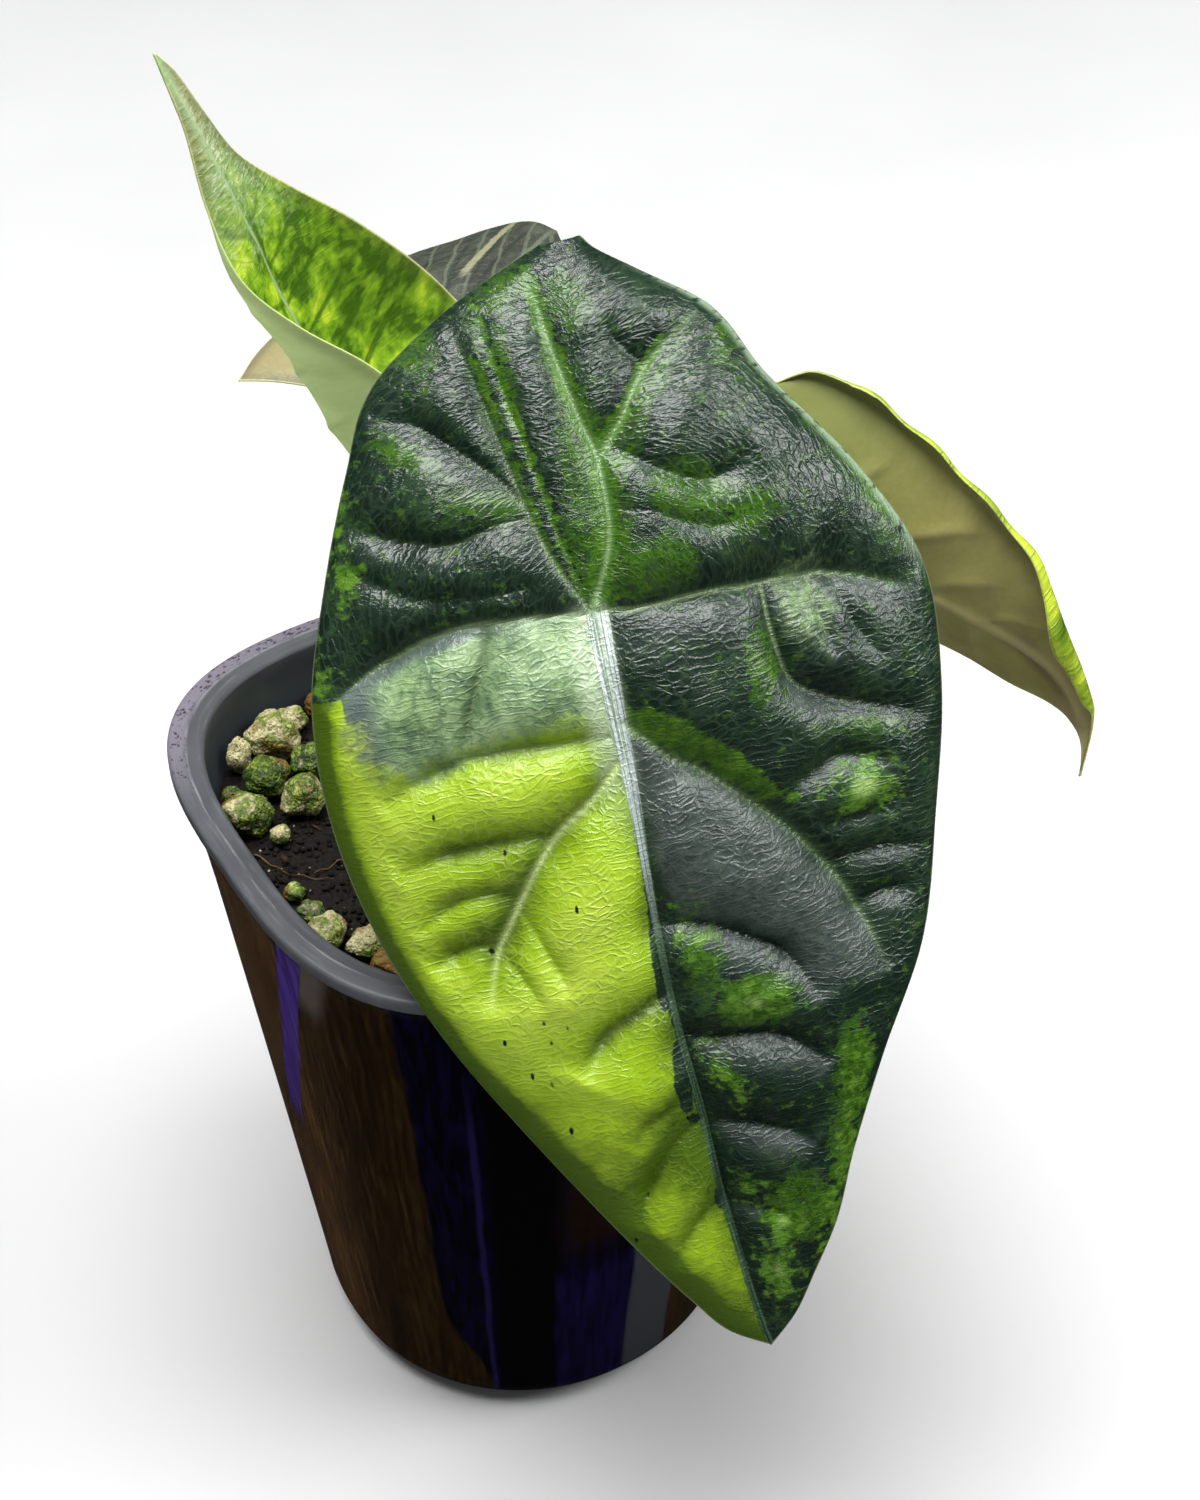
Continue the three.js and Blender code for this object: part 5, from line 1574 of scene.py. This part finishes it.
def stone_finish():
    """Porous cream stone, overgrown with algae where the "algae" mark is high."""
    f = Finish("porous stone", Specular_IOR_Level=0.4)
    place = f.place()
    pore = f.cells(f.warp(place, 1.4, 0.4), 0.75)
    rough = f.cloud(place, 0.55, 5.0, 0.7)
    wide = f.cloud(place, 3.0, 4.0, 0.6)
    cream = f.tint(rough, [(0.3, (0.12, 0.1, 0.04)), (0.5, (0.4, 0.36, 0.18)), (0.7, (0.62, 0.58, 0.36))])
    algae = f.tint(rough * 0.45 + wide * 0.55, [
        (0.4, (0.002, 0.006, 0.0005)), (0.485, (0.02, 0.045, 0.002)), (0.56, (0.1, 0.16, 0.006)),
        (0.66, (0.42, 0.42, 0.13))])
    grown = (f.mark("algae") + (wide - 0.5) * 1.8 + (rough - 0.5) * 0.7).rise(0.35, 0.65)
    shade = f.blend(grown, cream, algae)
    stain = f.cloud(f.shift(place, (4.0, 4.0, 4.0)), 4.5, 3.0)
    shade = f.blend(stain.rise(0.56, 0.66) * 0.7, shade, (0.17, 0.085, 0.012))
    shade = f.blend(pore.fall(0.06, 0.22) * 0.75, shade, (0.015, 0.016, 0.005))
    height = 0.18 * pore.rise(0.0, 0.5) + 0.2 * rough
    return f.wear(Base_Color=shade, Roughness=0.28 + 0.4 * rough, Normal=f.relief(height))


# How much algae each stone carries, in the order of the stones' numbers
ALGAE = [-0.6, 0.35, 0.6, 0.7, 0.95, 0.5, 0.75, 0.8, 0.7, 0.35, 0.6, 0.8, 0.9, 0.5, 0.5, 0.6, 0.4, 0.7]
# The stones up to this number lie near the camera and have a finer mesh
NEAR_STONES = 13


def box_of(node):
    """Centre and half size of a CAD node's box, in mm."""
    low, high = np.array(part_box(node)) / MM
    return (high + low) / 2, (high - low) / 2


def build_stones():
    finish = stone_finish()
    for k, algae in enumerate(ALGAE):
        node = f"pebble_{k + 1:02d}"
        centre, half = box_of(node)
        round_stone, faces = ball(6 if k < NEAR_STONES else 5)
        seed = 3.7 * (k + 1)
        lumps = 0.3 * rugged(round_stone, 0.8, 1, seed) + 0.06 * rugged(round_stone, 0.28, 3, seed + 5)
        pits = np.abs(wavy(round_stone, 0.16, seed + 9))
        reach = 0.97 + lumps - 0.05 * np.clip(0.25 - pits, 0, 1) / 0.25
        points = centre + round_stone * reach[:, None] * half * 1.04
        shade = algae + 0.25 * round_stone[:, 2] * (0.5 if k % 2 else -1)
        make_piece(f"stone_{k + 1:02d}", points, faces, [finish], [node],
                   marks={"algae": shade})


def bark_finish():
    f = Finish("bark chip", Specular_IOR_Level=0.25)
    place = f.place()
    fibre = f.cloud(f.stretch(place, (0.35, 1.6, 1.0)), 1.1, 5.0, 0.7, 0.8)
    wide = f.cloud(place, 3.5, 3.0)
    shade = f.tint(fibre * 0.6 + wide * 0.4, [
        (0.34, (0.03, 0.012, 0.004)), (0.5, (0.16, 0.07, 0.016)), (0.66, (0.4, 0.24, 0.07))])
    shade = f.blend((wide + (fibre - 0.5) * 0.5).rise(0.58, 0.68) * 0.5, shade, (0.12, 0.14, 0.02))
    return f.wear(Base_Color=shade, Roughness=0.8, Normal=f.relief(0.8 * fibre))


# Turn in degrees and half size in mm of each chip
BARK_CHIPS = ((40, (3.8, 2.6, 2.2)), (-35, (4.4, 2.8, 2.2)), (70, (5.2, 3.0, 2.4)))


def fine_cube(work):
    bmesh.ops.create_cube(work, size=2.0)
    bmesh.ops.subdivide_edges(work, edges=work.edges, cuts=26, use_grid_fill=True)


def build_bark():
    finish = bark_finish()
    for k, (degrees, half) in enumerate(BARK_CHIPS):
        node = f"bark_chip_{k + 1}"
        centre, _ = box_of(node)
        cube, faces = plain_shape(fine_cube)
        rounded = cube * (1 - 0.16 * (np.roll(cube, 1, 1) ** 4)) * (1 - 0.12 * (np.roll(cube, 2, 1) ** 4))
        shape = rounded * half
        layers = 0.3 * np.sin(shape[:, 2] * 5 + 2 * wavy(shape, 2.0, k))[:, None]
        torn = rugged(shape * (0.35, 1.4, 1.0), 1.3, 4, 3.0 * k)[:, None] * 0.32
        outward = unit(rounded + 1e-6)
        shape = shape * 0.93 + outward * (0.5 * layers * (1, 1, 0) + torn)
        turn = about_z(math.radians(degrees))
        make_piece(f"bark_{k + 1}", centre + shape @ turn.T, faces, [finish], [node])


# Stage, lights and camera

# Where the camera stands in mm, how many degrees it looks down, and its focal length in mm
CAMERA_PLACE, CAMERA_DOWN, CAMERA_LENS = (14, -295, 361), 39.1, 57.6

# The studio's floor, backdrop and the spot its lights aim at, in metres
FLOOR_RADIUS, BACKDROP_HEIGHT, STAGE_SIDES = 4.0, 1.6, 96
LIT_SPOT = (0.015, 0, 0.15)


def build_camera():
    camera = bpy.data.objects.new("camera", bpy.data.cameras.new("camera"))
    camera.data.lens = CAMERA_LENS
    camera.data.sensor_width = 36.0
    camera.data.clip_start = 0.01
    camera.location = Vector(CAMERA_PLACE) * MM
    camera.rotation_euler = (math.radians(90 - CAMERA_DOWN), 0, 0)
    bpy.context.scene.collection.objects.link(camera)
    bpy.context.scene.camera = camera


def floor_finish():
    """Pale board that passes into the lit backdrop far from the object."""
    f = Finish("studio floor", Specular_IOR_Level=0.1, Emission_Strength=1.0)
    place = f.place()
    x, y, _ = f.parts(place)
    shade = f.tint(f.cloud(place, 200.0, 3.0), [(0.3, (0.46, 0.46, 0.46)), (0.7, (0.5, 0.5, 0.5))])
    far = (x * x + y * y).rise(450.0 ** 2, 1500.0 ** 2)
    return f.wear(Base_Color=shade, Roughness=0.9,
                  Emission_Color=f.blend(far, (0.0, 0.0, 0.0), (0.655, 0.66, 0.665)))


def backdrop_finish():
    """Lit paper that darkens towards its upper edge."""
    f = Finish("studio backdrop", Specular_IOR_Level=0.0, Emission_Strength=1.0)
    height = f.parts(f.place())[2]
    glow = f.blend(height.rise(0, 500), (0.86, 0.865, 0.87), (0.72, 0.725, 0.73))
    glow = f.blend(height.rise(600, BACKDROP_HEIGHT / MM), glow, (0.13, 0.133, 0.137))
    return f.wear(Base_Color=(0.02, 0.02, 0.02), Roughness=0.9, Emission_Color=glow)


def add_stage(name, points, faces, finish):
    """A piece of the studio, left out of the mirror images on glossy surfaces."""
    mesh = bpy.data.meshes.new(name)
    mesh.from_pydata(points, [], faces)
    mesh.materials.append(finish)
    mesh.polygons.foreach_set("use_smooth", [True] * len(mesh.polygons))
    piece = bpy.data.objects.new(name, mesh)
    piece.visible_glossy = False
    bpy.context.scene.collection.objects.link(piece)


def add_light(name, place, size, watts):
    light = bpy.data.lights.new(name, "AREA")
    light.shape, light.size, light.energy = "DISK", size, watts
    lamp = bpy.data.objects.new(name, light)
    lamp.location = place
    lamp.rotation_euler = (Vector(LIT_SPOT) - Vector(place)).to_track_quat("-Z", "Y").to_euler()
    bpy.context.scene.collection.objects.link(lamp)


def build_studio():
    angle = np.arange(STAGE_SIDES) * 2 * np.pi / STAGE_SIDES
    circle = np.stack([np.cos(angle), np.sin(angle), 0 * angle], -1) * FLOOR_RADIUS
    add_stage("floor", circle.tolist(), [list(range(STAGE_SIDES))], floor_finish())
    wall = np.vstack([circle, circle + (0, 0, BACKDROP_HEIGHT)])
    add_stage("backdrop", wall.tolist(), grid_faces(2, STAGE_SIDES, closed=True), backdrop_finish())
    world = bpy.data.worlds.new("studio")
    world.use_nodes = True
    sky = NodeTree(world.node_tree)
    height = sky.node("SeparateXYZ", None, {0: sky.node("TexCoord")}, "Z")
    room = sky.node("Mix", {"data_type": "RGBA"}, {
        0: height.rise(-0.05, 0.5), 6: (0.012, 0.012, 0.013, 1), 7: (0.13, 0.133, 0.137, 1)}, 2)
    sky.links.new(room.socket, sky.nodes["Background"].inputs["Color"])
    scene = bpy.context.scene
    scene.world = world
    scene.view_settings.view_transform = "Standard"
    add_light("overhead softbox", (-0.14, 0.0, 1.35), 1.1, 38.0)
    add_light("side softbox", (0.95, -0.05, 0.95), 0.7, 13.0)


build_camera()
build_studio()
build_front_leaf()
build_left_leaf()
build_right_leaf()
build_back_leaf()
build_stalks()
build_stem()
build_cover()
build_liner()
build_soil()
build_litter()
build_stones()
build_bark()
